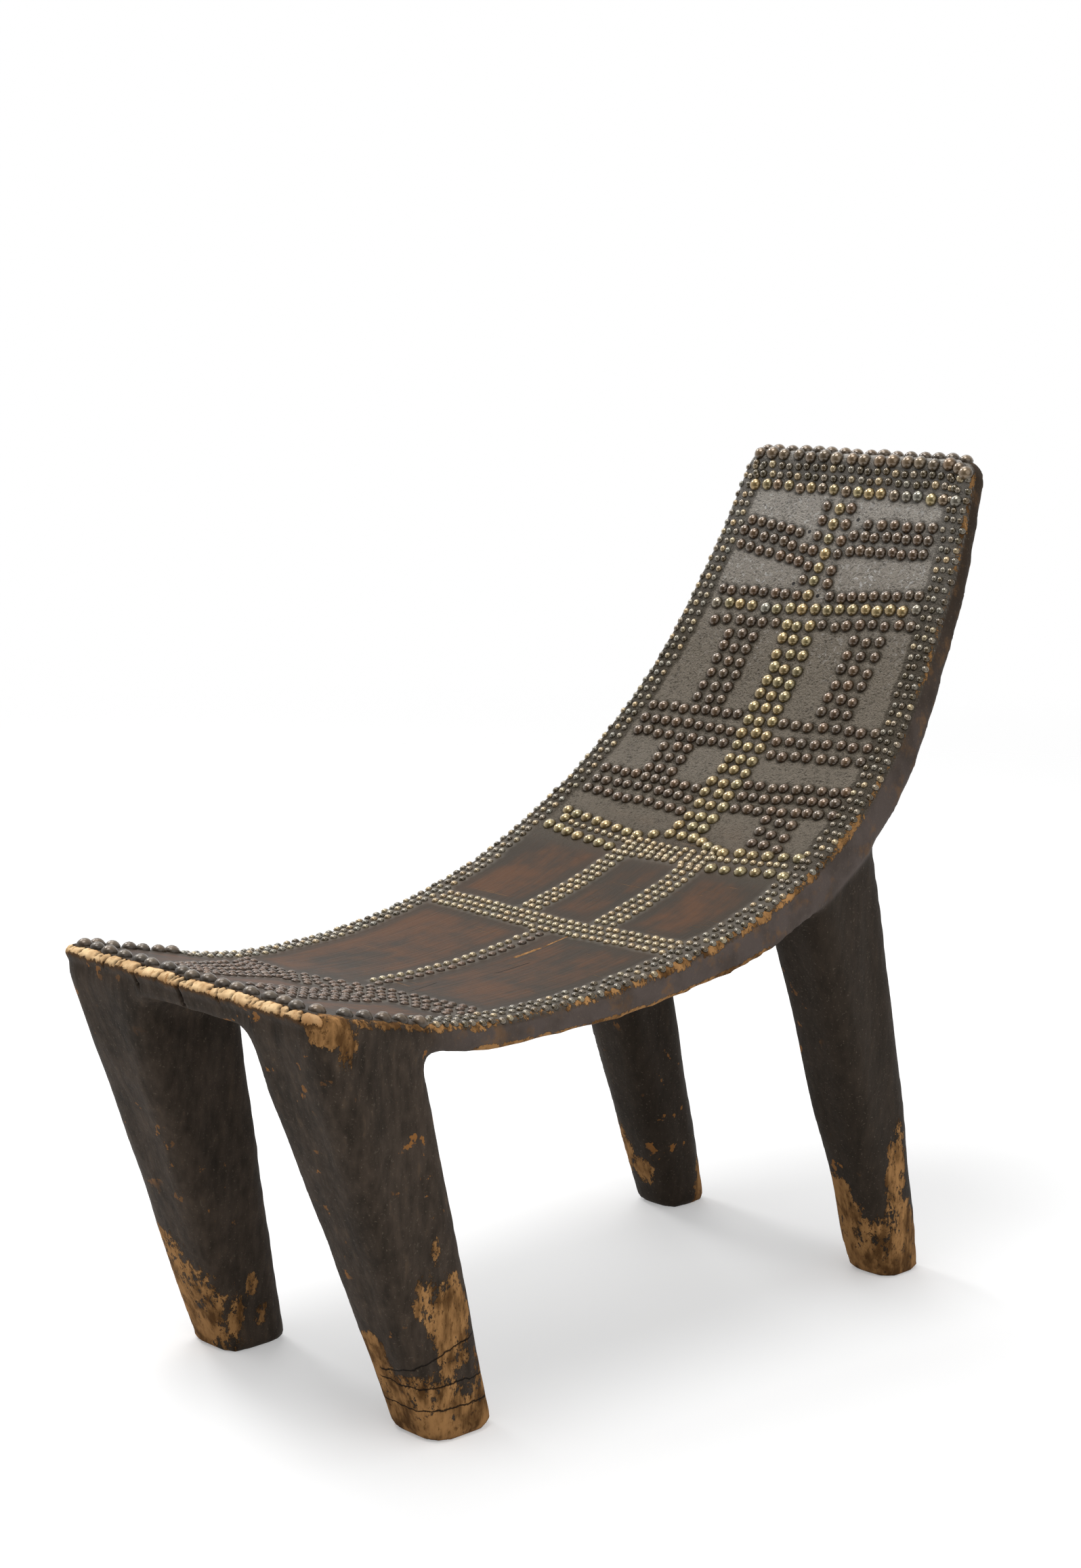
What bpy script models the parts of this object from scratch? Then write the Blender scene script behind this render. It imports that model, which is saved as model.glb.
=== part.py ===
"""A low carved wooden stool with a raised back, cut from one block of wood and studded
with driven tacks. Metres, +Z up, the front towards -Y, the ground at Z 0.

The wood is one solid: a curved slab that is seat and back in one, on four tapering legs.
Each row of tacks is one solid: its heads join at their rims, and the first and the last
head have a square shank that sits in a hole in the wood.
"""

import math

import bmesh
import bpy
from mathutils import Vector

# The top of the slab seen from the side: five arcs, each running on from the one before.
FRONT_HEIGHT = 0.323
FRONT_TILT = math.radians(-14.0)
LIP_ARC_LENGTH = 0.0977
LIP_ARC_RADIUS = 6.0
FRONT_ARC_LENGTH = 0.0912
FRONT_ARC_RADIUS = 0.40
SEAT_ARC_LENGTH = 0.1915
SEAT_ARC_RADIUS = 0.728
BEND_ARC_LENGTH = 0.2835
BEND_ARC_RADIUS = 0.411
BACK_ARC_LENGTH = 0.196
BACK_ARC_RADIUS = 0.754

# Half the slab's width, at its two ends and at three places between them.
FRONT_HALF_WIDTH = 0.148
WAIST_HALF_WIDTH = 0.1425
WAIST_FROM_FRONT = 0.19
HIP_HALF_WIDTH = 0.158
HIP_FROM_FRONT = 0.49
BACK_HALF_WIDTH = 0.139
BACK_FROM_TOP = 0.162
TOP_HALF_WIDTH = 0.119

# The slab's thickness at the same kind of places.
FRONT_THICKNESS = 0.0225
SEAT_THICKNESS = 0.0205
SEAT_FROM_FRONT = 0.18
BEND_THICKNESS = 0.033
BEND_FROM_FRONT = 0.53
BACK_THICKNESS = 0.0245
TOP_THICKNESS = 0.018

# Worn edges of the slab. The front face leans back as it goes down.
EDGE_RADIUS = 0.006
ARRIS_RADIUS = 0.004
LIP_RADIUS = 0.005
CORNER_RADIUS = 0.015
FRONT_RAKE = math.radians(20.0)
FRONT_RAKE_REACH = 0.06
ARC_STEP = 0.0225
CORNER_TURNS = (0.0, 0.25, 0.5)

# Legs, where they meet the seat and at their feet. Fore and aft sizes start at the front lip.
LEG_INSET = 0.0015
LEG_FILLET = 0.014
LEG_HEAD_SHARE = 0.9
LEG_CORNER_RADIUS = 0.014
FOOT_CORNER_RADIUS = 0.016
FOOT_EDGE = 0.004
FRONT_LEG_INNER = 0.059
FRONT_LEG_DEPTH = 0.092
FRONT_FOOT_X = 0.115
FRONT_FOOT_BACK_SET = 0.1295
FRONT_FOOT_HALF_WIDTH = 0.0285
FRONT_FOOT_HALF_DEPTH = 0.0295
REAR_LEG_INNER = 0.092
REAR_LEG_FROM_LIP = 0.467
REAR_LEG_DEPTH = 0.086
REAR_FOOT_X = 0.119
REAR_FOOT_BACK_SET = 0.6035
REAR_FOOT_HALF_WIDTH = 0.0245
REAR_FOOT_HALF_DEPTH = 0.0245

# Tacks: head width, dome height and the gap to the next head along a row. The large ones have
# the large shank, the medium and small ones the small shank.
BRASS_HEAD = 0.0112
BRASS_DOME = 0.0036
BRASS_GAP = 0.0020
COPPER_HEAD = 0.0102
COPPER_DOME = 0.0034
COPPER_GAP = 0.0024
IRON_HEAD = 0.0114
IRON_DOME = 0.0042
IRON_GAP = 0.0031
MEDIUM_HEAD = 0.0082
MEDIUM_DOME = 0.0028
MEDIUM_GAP = 0.0014
SMALL_HEAD = 0.0064
SMALL_DOME = 0.0022
SMALL_GAP = 0.0020
LARGE_SHANK = 0.0024
LARGE_SHANK_LENGTH = 0.008
SMALL_SHANK = 0.0018
SMALL_SHANK_LENGTH = 0.006

# A head's rim stands SEAT_GAP off the wood, and a shank has SHANK_GAP all round it in its hole.
SEAT_GAP = 0.0004
SHANK_GAP = 0.0003
HOLE_LEAD = 0.002

# Shares of a head's radius or dome height that give its faceted shape.
NECK_SHARE = 0.30
NECK_HEIGHT_SHARE = 0.40
CROWN_SHARE = 0.42
SHOULDER_SHARE = 0.42
RIM_SHARE = 0.92
TIP_SHARE = 0.6

# The tacks' layout, as clear distances between heads and places on the slab. A drop is measured
# down from the top edge of the back, and a reach is measured back from the front lip.
ROW_GAP = 0.0005
EDGE_CLEAR = 0.0008
END_CLEAR = 0.0043
BORDER_INSET = 0.0125
BORDER_CLEAR = 0.010
STEM_X = -0.0045
STEM_COLUMN_GAP = 0.0028
STEM_SIDE_LENGTH = 0.066
STEM_CLEAR = 0.003
MIDDLE_DROP = 0.1425
MIDDLE_DROP_LEFT = 0.144
MIDDLE_DROP_RIGHT = 0.1315
MIDDLE_ROW_GAP = 0.0024
SPINE_TOP_X = -0.002
SPINE_FOOT_X = 0.0145
SPINE_FOOT_DROP = 0.3715
SPINE_COLUMN_GAP = 0.0014
SPINE_CLEAR = 0.003
GROUP_ROW_GAP = 0.0036
POST_COLUMN_GAP = 0.0031
HEAD_ROW_GAP = 0.0017
HEAD_CLEAR = 0.009
LONG_BAND_LEFT_X = -0.031
LONG_BAND_RIGHT_X = 0.0475
LONG_BAND_TOP_DROP = 0.4015
CROSS_BAND_REACH = 0.3445
CROSS_BAND_CLEAR = 0.0056
CENTRE_X = 0.0045
CENTRE_GAP = 0.0027
CENTRE_REACH = 0.1725
FRONT_BAND_LEFT_REACH = 0.1225
FRONT_BAND_RIGHT_REACH = 0.1525
FRONT_POST_REACH = 0.050
FRONT_ROW_CLEAR = 0.0105
FRONT_POST_CLEAR = 0.0025

# Groups of three rows: the drop of the first row's inner end and of its outer end, by the border.
UPPER_LEFT_INNER_DROP = 0.0745
UPPER_LEFT_OUTER_DROP = 0.0665
UPPER_RIGHT_INNER_DROP = 0.0625
UPPER_RIGHT_OUTER_DROP = 0.061
CROSS_LEFT_INNER_DROP = 0.243
CROSS_LEFT_OUTER_DROP = 0.245
CROSS_RIGHT_INNER_DROP = 0.2465
CROSS_RIGHT_OUTER_DROP = 0.242
BEND_LEFT_INNER_DROP = 0.3215
BEND_LEFT_OUTER_DROP = 0.315
BEND_RIGHT_INNER_DROP = 0.3085
BEND_RIGHT_OUTER_DROP = 0.2975

# The rows at the head of the seat: how far out they start, and the drops of both their ends.
HEAD_LEFT_START = 0.016
HEAD_LEFT_INNER_DROP = 0.381
HEAD_LEFT_OUTER_DROP = 0.3695
HEAD_RIGHT_START = 0.041
HEAD_RIGHT_INNER_DROP = 0.383
HEAD_RIGHT_OUTER_DROP = 0.373

# Posts three tacks wide on the back: the middle column's X and the drop of its first and last tack.
UPPER_POST_LEFT_X = -0.0595
UPPER_POST_LEFT_DROP = 0.1705
UPPER_POST_LEFT_END = 0.2315
UPPER_POST_RIGHT_X = 0.074
UPPER_POST_RIGHT_DROP = 0.164
UPPER_POST_RIGHT_END = 0.2305
LOWER_POST_LEFT_X = -0.0635
LOWER_POST_LEFT_DROP = 0.2855
LOWER_POST_LEFT_END = 0.3055
LOWER_POST_RIGHT_X = 0.091
LOWER_POST_RIGHT_DROP = 0.3445
LOWER_POST_RIGHT_END = 0.364
LOWER_POST_RIGHT_END_X = 0.097

# Posts near the front: the middle column's X at the band and at the front.
FRONT_POST_LEFT_X = -0.067
FRONT_POST_LEFT_FRONT_X = -0.041
FRONT_POST_RIGHT_X = 0.039
FRONT_POST_RIGHT_FRONT_X = 0.041

HALVINGS = 50
SETTLE_STEPS = 8

# name, side, drop of the inner end, drop of the outer end
STEM_GROUPS = (
    ("upper_row", -1, UPPER_LEFT_INNER_DROP, UPPER_LEFT_OUTER_DROP),
    ("upper_row", 1, UPPER_RIGHT_INNER_DROP, UPPER_RIGHT_OUTER_DROP),
)
SPINE_GROUPS = (
    ("cross_row", -1, CROSS_LEFT_INNER_DROP, CROSS_LEFT_OUTER_DROP),
    ("cross_row", 1, CROSS_RIGHT_INNER_DROP, CROSS_RIGHT_OUTER_DROP),
    ("bend_row", -1, BEND_LEFT_INNER_DROP, BEND_LEFT_OUTER_DROP),
    ("bend_row", 1, BEND_RIGHT_INNER_DROP, BEND_RIGHT_OUTER_DROP),
)
# side, start of the first row, drop of the inner end, drop of the outer end
HEAD_ROWS = (
    (-1, HEAD_LEFT_START, HEAD_LEFT_INNER_DROP, HEAD_LEFT_OUTER_DROP),
    (1, HEAD_RIGHT_START, HEAD_RIGHT_INNER_DROP, HEAD_RIGHT_OUTER_DROP),
)
# name, X of the first and of the last tack, and their drops
POSTS = (
    ("upper_post_left", UPPER_POST_LEFT_X, UPPER_POST_LEFT_X, UPPER_POST_LEFT_DROP, UPPER_POST_LEFT_END),
    ("upper_post_right", UPPER_POST_RIGHT_X, UPPER_POST_RIGHT_X, UPPER_POST_RIGHT_DROP, UPPER_POST_RIGHT_END),
    ("lower_post_left", LOWER_POST_LEFT_X, LOWER_POST_LEFT_X, LOWER_POST_LEFT_DROP, LOWER_POST_LEFT_END),
    (
        "lower_post_right",
        LOWER_POST_RIGHT_X,
        LOWER_POST_RIGHT_END_X,
        LOWER_POST_RIGHT_DROP,
        LOWER_POST_RIGHT_END,
    ),
)
FRONT_POSTS = (
    ("front_post_left", FRONT_POST_LEFT_X, FRONT_POST_LEFT_FRONT_X),
    ("front_post_right", FRONT_POST_RIGHT_X, FRONT_POST_RIGHT_FRONT_X),
)

# head, dome, gap, shank side, shank length, and where across the crown its top points lie
FLAT_CROWN = (CROWN_SHARE, -CROWN_SHARE)
POINT_CROWN = (0.0,)
KINDS = {
    "brass": (BRASS_HEAD, BRASS_DOME, BRASS_GAP, LARGE_SHANK, LARGE_SHANK_LENGTH, FLAT_CROWN),
    "copper": (COPPER_HEAD, COPPER_DOME, COPPER_GAP, LARGE_SHANK, LARGE_SHANK_LENGTH, FLAT_CROWN),
    "iron": (IRON_HEAD, IRON_DOME, IRON_GAP, LARGE_SHANK, LARGE_SHANK_LENGTH, FLAT_CROWN),
    "medium": (MEDIUM_HEAD, MEDIUM_DOME, MEDIUM_GAP, SMALL_SHANK, SMALL_SHANK_LENGTH, POINT_CROWN),
    "small": (SMALL_HEAD, SMALL_DOME, SMALL_GAP, SMALL_SHANK, SMALL_SHANK_LENGTH, POINT_CROWN),
}
# colour, roughness, metallic
FINISHES = {
    "wood": ((0.060, 0.040, 0.028), 0.6, 0.0),
    "brass": ((0.42, 0.33, 0.14), 0.35, 1.0),
    "copper": ((0.17, 0.11, 0.075), 0.4, 1.0),
    "iron": ((0.12, 0.10, 0.09), 0.4, 1.0),
    "medium": ((0.15, 0.11, 0.08), 0.4, 1.0),
    "small": ((0.25, 0.21, 0.13), 0.4, 1.0),
}

PROFILE = (
    (LIP_ARC_LENGTH, LIP_ARC_RADIUS),
    (FRONT_ARC_LENGTH, FRONT_ARC_RADIUS),
    (SEAT_ARC_LENGTH, SEAT_ARC_RADIUS),
    (BEND_ARC_LENGTH, BEND_ARC_RADIUS),
    (BACK_ARC_LENGTH, BACK_ARC_RADIUS),
)
LENGTH = sum(arc_length for arc_length, _ in PROFILE)
WIDTHS = (
    (0.0, FRONT_HALF_WIDTH),
    (WAIST_FROM_FRONT, WAIST_HALF_WIDTH),
    (HIP_FROM_FRONT, HIP_HALF_WIDTH),
    (LENGTH - BACK_FROM_TOP, BACK_HALF_WIDTH),
    (LENGTH, TOP_HALF_WIDTH),
)
THICKNESSES = (
    (0.0, FRONT_THICKNESS),
    (SEAT_FROM_FRONT, SEAT_THICKNESS),
    (BEND_FROM_FRONT, BEND_THICKNESS),
    (LENGTH - BACK_FROM_TOP, BACK_THICKNESS),
    (LENGTH, TOP_THICKNESS),
)

# Places that follow from the sizes above.
SIDES = ((-1, "left"), (1, "right"))
ROW_MARGIN = BORDER_INSET + (SMALL_HEAD + COPPER_HEAD) / 2 + BORDER_CLEAR
TOP_ROW_MARGIN = IRON_HEAD / 2 + END_CLEAR
TOP_EDGE_DROP = IRON_HEAD / 2 + EDGE_CLEAR
TOP_SMALL_DROPS = (
    TOP_EDGE_DROP + (IRON_HEAD + SMALL_HEAD) / 2 + ROW_GAP,
    TOP_EDGE_DROP + (IRON_HEAD + SMALL_HEAD) / 2 + SMALL_HEAD + 2 * ROW_GAP,
)
TOP_BRASS_DROP = TOP_SMALL_DROPS[1] + (SMALL_HEAD + BRASS_HEAD) / 2 + ROW_GAP
BORDER_DROP = TOP_BRASS_DROP + (BRASS_HEAD + SMALL_HEAD) / 2 + END_CLEAR
STEM_DROP = TOP_BRASS_DROP + BRASS_HEAD + BRASS_GAP
STEM_SPREAD = (BRASS_HEAD + COPPER_HEAD) / 2 + STEM_COLUMN_GAP
MIDDLE_PITCH = (BRASS_HEAD + COPPER_HEAD) / 2 + MIDDLE_ROW_GAP
SPINE_DROP = MIDDLE_DROP + BRASS_HEAD + BRASS_GAP
SPINE_SPREAD = BRASS_HEAD + SPINE_COLUMN_GAP
GROUP_PITCH = COPPER_HEAD + GROUP_ROW_GAP
HEAD_PITCH = (BRASS_HEAD + SMALL_HEAD) / 2 + HEAD_ROW_GAP
FRONT_ROW_REACH = IRON_HEAD / 2 + FRONT_ROW_CLEAR
BORDER_REACH = FRONT_ROW_REACH + (IRON_HEAD + SMALL_HEAD) / 2 + END_CLEAR


def along(stations, s):
    """A smooth curve through the stations' values at distance s."""
    s = min(max(s, stations[0][0]), stations[-1][0])
    i = 0
    while i < len(stations) - 2 and s > stations[i + 1][0]:
        i += 1

    def slope(k):
        low = stations[max(k - 1, 0)]
        high = stations[min(k + 1, len(stations) - 1)]
        return (high[1] - low[1]) / (high[0] - low[0])

    (a, va), (b, vb) = stations[i], stations[i + 1]
    h = b - a
    t = (s - a) / h
    return (
        va * (1 + 2 * t) * (1 - t) ** 2
        + slope(i) * h * t * (1 - t) ** 2
        + vb * t * t * (3 - 2 * t)
        + slope(i + 1) * h * t * t * (t - 1)
    )


def rounding(from_end, radius):
    """How far a rounded end falls back at this distance from it."""
    if from_end >= radius:
        return 0.0
    return radius - math.sqrt(radius**2 - (radius - from_end) ** 2)


def profile(s):
    """(y, z, angle) of the top surface at distance s from the front lip, with the lip at y 0."""
    y, z, angle = 0.0, FRONT_HEIGHT, FRONT_TILT
    left = s
    for i, (length, radius) in enumerate(PROFILE):
        step = left if i == len(PROFILE) - 1 else min(left, length)
        turned = angle + step / radius
        y += radius * (math.sin(turned) - math.sin(angle))
        z += radius * (math.cos(angle) - math.cos(turned))
        angle = turned
        left -= step
        if left <= 0:
            break
    return y, z, angle


def rake(s):
    return math.tan(FRONT_RAKE * max(0.0, 1.0 - s / FRONT_RAKE_REACH))


def below(s, depth):
    """(y, z) at this depth under the top surface."""
    y, z, angle = profile(s)
    shift = depth * rake(s)
    return (
        y + math.cos(angle) * shift + math.sin(angle) * depth,
        z + math.sin(angle) * shift - math.cos(angle) * depth,
    )


FRONT_Y = min(below(0.0, 0.0)[0], below(0.0, FRONT_THICKNESS)[0])
BACK_Y = below(LENGTH, TOP_THICKNESS)[0]
SHIFT_Y = -(FRONT_Y + BACK_Y) / 2


def half_width(s):
    return along(WIDTHS, s)


def thickness(s):
    return along(THICKNESSES, s)


def pitch_of(kind):
    return KINDS[kind][0] + KINDS[kind][2]


def new_object(name, mesh, finish):
    obj = bpy.data.objects.new(name, mesh)
    bpy.context.collection.objects.link(obj)
    if finish:
        colour, rough, metal = FINISHES[finish]
        material = bpy.data.materials.new(name)
        material.use_nodes = True
        shader = material.node_tree.nodes["Principled BSDF"]
        shader.inputs["Base Color"].default_value = (*colour, 1.0)
        shader.inputs["Roughness"].default_value = rough
        shader.inputs["Metallic"].default_value = metal
        mesh.materials.append(material)
    return obj


def loft(name, rings, finish=None):
    """A closed solid through rings of points that all have the same count."""
    bm = bmesh.new()
    rows = [[bm.verts.new(p) for p in ring] for ring in rings]
    count = len(rows[0])
    for low, high in zip(rows, rows[1:]):
        for i in range(count):
            j = (i + 1) % count
            bm.faces.new((low[i], low[j], high[j], high[i]))
    bm.faces.new(rows[0])
    bm.faces.new(rows[-1])
    bmesh.ops.recalc_face_normals(bm, faces=bm.faces)
    mesh = bpy.data.meshes.new(name)
    bm.to_mesh(mesh)
    bm.free()
    return new_object(name, mesh, finish)


def slab_ring(s):
    """The slab's section at s: both edges rounded above, the lower arrises eased."""
    from_end = min(s, LENGTH - s)
    drop = rounding(from_end, LIP_RADIUS)
    half = half_width(s) - rounding(from_end, CORNER_RADIUS)
    low = thickness(s) - drop / 2
    right = []
    for turn in CORNER_TURNS:
        a = math.pi * turn
        x = half - EDGE_RADIUS * (1 - math.sin(a))
        right.append((x, drop + EDGE_RADIUS * (1 - math.cos(a))))
    for turn in CORNER_TURNS:
        a = math.pi * turn
        x = half - ARRIS_RADIUS * (1 - math.cos(a))
        right.append((x, low - ARRIS_RADIUS * (1 - math.sin(a))))
    ring = []
    for x, depth in right + [(-x, depth) for x, depth in reversed(right)]:
        y, z = below(s, depth)
        ring.append((x, y + SHIFT_Y, z))
    return ring


def slab_stations():
    """Distances of the slab's sections, close together at the rounded ends."""
    ends = [0.0, LIP_RADIUS / 3, LIP_RADIUS, (LIP_RADIUS + CORNER_RADIUS) / 2, CORNER_RADIUS]
    inner = LENGTH - 2 * CORNER_RADIUS
    steps = math.ceil(inner / ARC_STEP)
    middle = [CORNER_RADIUS + inner * i / steps for i in range(1, steps)]
    return ends + middle + [LENGTH - e for e in reversed(ends)]


def slab_height(y, share):
    """(z, s) of the slab at this share of its depth, above or below the point y."""
    low, high = 0.0, LENGTH
    for _ in range(HALVINGS):
        s = (low + high) / 2
        if below(s, share * thickness(s))[0] < y:
            low = s
        else:
            high = s
    return below(s, share * thickness(s))[1], s


def leg(name, side, inner, top_y, foot, seat_side):
    """One leg, from its foot to the middle of the slab. top_y and foot are in the profile's own Y."""
    corners = ((1, 1), (0, 1), (0, 0), (1, 0))
    points = []
    for k, (cx, cy) in enumerate(corners):
        for turn in CORNER_TURNS:
            a = math.pi * (k / 2 + turn)
            points.append((cx, cy, math.cos(a), math.sin(a)))
    foot_x, foot_y, foot_half_x, foot_half_y = foot
    top_mid, mid_s = slab_height((top_y[0] + top_y[1]) / 2, 1.0)

    def spot(point, z, flare):
        cx, cy, nx, ny = point
        f = z / top_mid
        _, s = slab_height(min(max(foot_y + (top_y[cy] - foot_y) * f, 0.0), BACK_Y), 0.5)
        radius = FOOT_CORNER_RADIUS + (LEG_CORNER_RADIUS - FOOT_CORNER_RADIUS) * f
        outer = half_width(s if f > LEG_HEAD_SHARE else mid_s) - LEG_INSET
        edge_x = (inner, outer)[cx]
        foot_edge_x = foot_x + (2 * cx - 1) * foot_half_x
        foot_edge_y = foot_y + (2 * cy - 1) * foot_half_y
        x = foot_edge_x + (edge_x - foot_edge_x) * f
        y = foot_edge_y + (top_y[cy] - foot_edge_y) * f
        x += (nx - (2 * cx - 1)) * radius + min(nx, 0.0) * flare
        y += (ny - (2 * cy - 1)) * radius + max(ny * seat_side, 0.0) * seat_side * flare
        return x, y

    def column(point):
        """The points of one line up the leg. Its fillet under the seat is a quarter circle in three steps."""
        z = top_mid
        for _ in range(SETTLE_STEPS):
            z = slab_height(spot(point, z, 0.0)[1], 1.0)[0]
        under = z
        half_turn = math.sin(math.pi / 4)
        levels = [
            (0.0, -FOOT_EDGE / 2),
            (FOOT_EDGE, 0.0),
            (under / 2, 0.0),
            (under - LEG_FILLET, 0.0),
            (under - LEG_FILLET * (1 - half_turn), LEG_FILLET * (1 - half_turn)),
        ]
        made = []
        for z, flare in levels:
            x, y = spot(point, z, max(flare, 0.0))
            if flare < 0:
                x += point[2] * flare
                y += point[3] * flare
            made.append((x, y, z))
        x, y = spot(point, under, LEG_FILLET)
        made.append((x, y, slab_height(y, 1.0)[0]))
        made.append((x, y, slab_height(y, 0.5)[0]))
        return [(side * x, y + SHIFT_Y, z) for x, y, z in made]

    rings = list(zip(*[column(p) for p in points]))
    return loft(name, rings)


def as_helper(obj):
    obj.hide_render = True
    obj.display_type = "WIRE"
    return obj


def boolean(target, other, operation):
    modifier = target.modifiers.new(other.name, "BOOLEAN")
    modifier.operation = operation
    modifier.solver = "EXACT"
    modifier.use_self = operation == "DIFFERENCE"
    modifier.object = as_helper(other)


def seat_point(x, s):
    """A place on the top surface and the way up from it."""
    y, z, angle = profile(s)
    return Vector((x, y + SHIFT_Y, z)), Vector((0.0, -math.sin(angle), math.cos(angle)))


def top_face_point(x, depth):
    """A place on the end face at the top of the back."""
    y, z = below(LENGTH, depth)
    angle = profile(LENGTH)[2]
    return Vector((x, y + SHIFT_Y, z)), Vector((0.0, math.cos(angle), math.sin(angle)))


def spaced(start, end, pitch):
    """(x, s) places from start to end, about a pitch apart."""
    count = max(2, round(math.dist(start, end) / pitch) + 1)
    places = []
    for i in range(count):
        f = i / (count - 1)
        places.append((start[0] + (end[0] - start[0]) * f, start[1] + (end[1] - start[1]) * f))
    return places


holes = bmesh.new()


def box(bm, top, across, over, down, half, length):
    """A square peg that runs down from top, made in bm."""
    corners = [across * half + over * half, over * half - across * half]
    corners += [-corners[0], -corners[1]]
    rims = []
    for drop in (0.0, length):
        rims.append([bm.verts.new(top + c + down * drop) for c in corners])
    for i in range(4):
        j = (i + 1) % 4
        bm.faces.new((rims[0][i], rims[0][j], rims[1][j], rims[1][i]))
    bm.faces.new(rims[0])
    bm.faces.new(rims[1])


def row_sections(kind, seats):
    """(centre, forward, up, half width, height) of the sections along a row: one at each head,
    one at each neck between two heads, and two more that shape each end head."""
    head, dome = KINDS[kind][:2]
    r = head / 2
    points = [p for p, _ in seats]
    last = len(points) - 1
    sections = []

    def add(centre, forward, up, share, height_share):
        sections.append((centre, forward.normalized(), up.normalized(), r * share, dome * height_share))

    for i, (p, up) in enumerate(seats):
        forward = (points[min(i + 1, last)] - points[max(i - 1, 0)]).normalized()
        if i == 0:
            add(p - forward * r * RIM_SHARE, forward, up, CROWN_SHARE, NECK_HEIGHT_SHARE)
        if i in (0, last):
            add(p - forward * r * SHOULDER_SHARE, forward, up, 1.0, 1.0)
            add(p + forward * r * SHOULDER_SHARE, forward, up, 1.0, 1.0)
        else:
            add(p, forward, up, 1.0, 1.0)
        if i == last:
            add(p + forward * r * RIM_SHARE, forward, up, CROWN_SHARE, NECK_HEIGHT_SHARE)
        else:
            q, q_up = seats[i + 1]
            add((p + q) / 2, q - p, up + q_up, NECK_SHARE, NECK_HEIGHT_SHARE)
    return sections


def add_shank(bm, kind, rim, forward, up):
    """A tapering shank under the face whose corners are rim, and its hole in the wood."""
    shank, length = KINDS[kind][3:5]
    centre = sum((v.co for v in rim), Vector()) / 4
    over = forward.cross(up).normalized()
    half = shank / 2
    inner, tip = [], []
    for across, on in ((-1, -1), (1, -1), (1, 1), (-1, 1)):
        offset = over * across * half + forward * on * half
        inner.append(bm.verts.new(centre + offset))
        tip.append(bm.verts.new(centre + offset * TIP_SHARE - up * length))
    for i in range(4):
        j = (i + 1) % 4
        bm.faces.new((rim[i], rim[j], inner[j], inner[i]))
        bm.faces.new((inner[i], inner[j], tip[j], tip[i]))
    bm.faces.new(tip)
    start = centre + up * HOLE_LEAD
    box(holes, start, over, forward, -up, half + SHANK_GAP, HOLE_LEAD + length + SHANK_GAP)


def tack_row(name, kind, seats):
    """One row of tacks on these (point, up) seats, as one solid, with holes for its two shanks."""
    bm = bmesh.new()
    sections = row_sections(kind, seats)
    rings = []
    for centre, forward, up, half, height in sections:
        over = forward.cross(up).normalized()
        low = centre + up * SEAT_GAP
        ring = [low - over * half, low + over * half]
        ring += [low + up * height + over * half * share for share in KINDS[kind][5]]
        rings.append([bm.verts.new(v) for v in ring])
    pegged = (1, len(rings) - 3)
    count = len(rings[0])
    for k, (a, b) in enumerate(zip(rings, rings[1:])):
        for i in range(count):
            j = (i + 1) % count
            if i > 0 or k not in pegged:
                bm.faces.new((a[i], a[j], b[j], b[i]))
    bm.faces.new(rings[0])
    bm.faces.new(rings[-1])
    for k in pegged:
        rim = [rings[k][0], rings[k][1], rings[k + 1][1], rings[k + 1][0]]
        add_shank(bm, kind, rim, sections[k][1], sections[k][2])
    bmesh.ops.recalc_face_normals(bm, faces=bm.faces)
    mesh = bpy.data.meshes.new(name)
    bm.to_mesh(mesh)
    bm.free()
    return new_object(name, mesh, kind)


def surface_row(name, kind, path):
    """A row on the top surface through the corners of a path of (x, s)."""
    places = []
    for start, end in zip(path, path[1:]):
        step = spaced(start, end, pitch_of(kind))
        places += step[1:] if places else step
    return tack_row(name, kind, [seat_point(x, s) for x, s in places])


def post(name, kind, first, last, gap):
    """Three columns side by side from first to last, both (x, s), as one row that turns at each end."""
    spread = KINDS[kind][0] + gap
    path = []
    for column in (-1, 0, 1):
        ends = [(first[0] + column * spread, first[1]), (last[0] + column * spread, last[1])]
        path += reversed(ends) if column == 0 else ends
    surface_row(name, kind, path)


def build_wood():
    wood = loft("carved_wood", [slab_ring(s) for s in slab_stations()], "wood")
    front_y = below(0.0, FRONT_THICKNESS)[0] + LEG_INSET
    front_foot = (FRONT_FOOT_X, FRONT_FOOT_BACK_SET, FRONT_FOOT_HALF_WIDTH, FRONT_FOOT_HALF_DEPTH)
    rear_foot = (REAR_FOOT_X, REAR_FOOT_BACK_SET, REAR_FOOT_HALF_WIDTH, REAR_FOOT_HALF_DEPTH)
    front_top = (front_y, front_y + FRONT_LEG_DEPTH)
    rear_top = (REAR_LEG_FROM_LIP, REAR_LEG_FROM_LIP + REAR_LEG_DEPTH)
    for side, word in SIDES:
        boolean(wood, leg(f"front_leg_{word}", side, FRONT_LEG_INNER, front_top, front_foot, 1), "UNION")
        boolean(wood, leg(f"rear_leg_{word}", side, REAR_LEG_INNER, rear_top, rear_foot, -1), "UNION")
    return wood


def outer_end(side, s):
    """Where a row that reaches the border ends."""
    return side * (half_width(s) - ROW_MARGIN), s


def spine_x(drop):
    """X of the spine's middle column."""
    return SPINE_TOP_X + (SPINE_FOOT_X - SPINE_TOP_X) * (drop - SPINE_DROP) / (SPINE_FOOT_DROP - SPINE_DROP)


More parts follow.
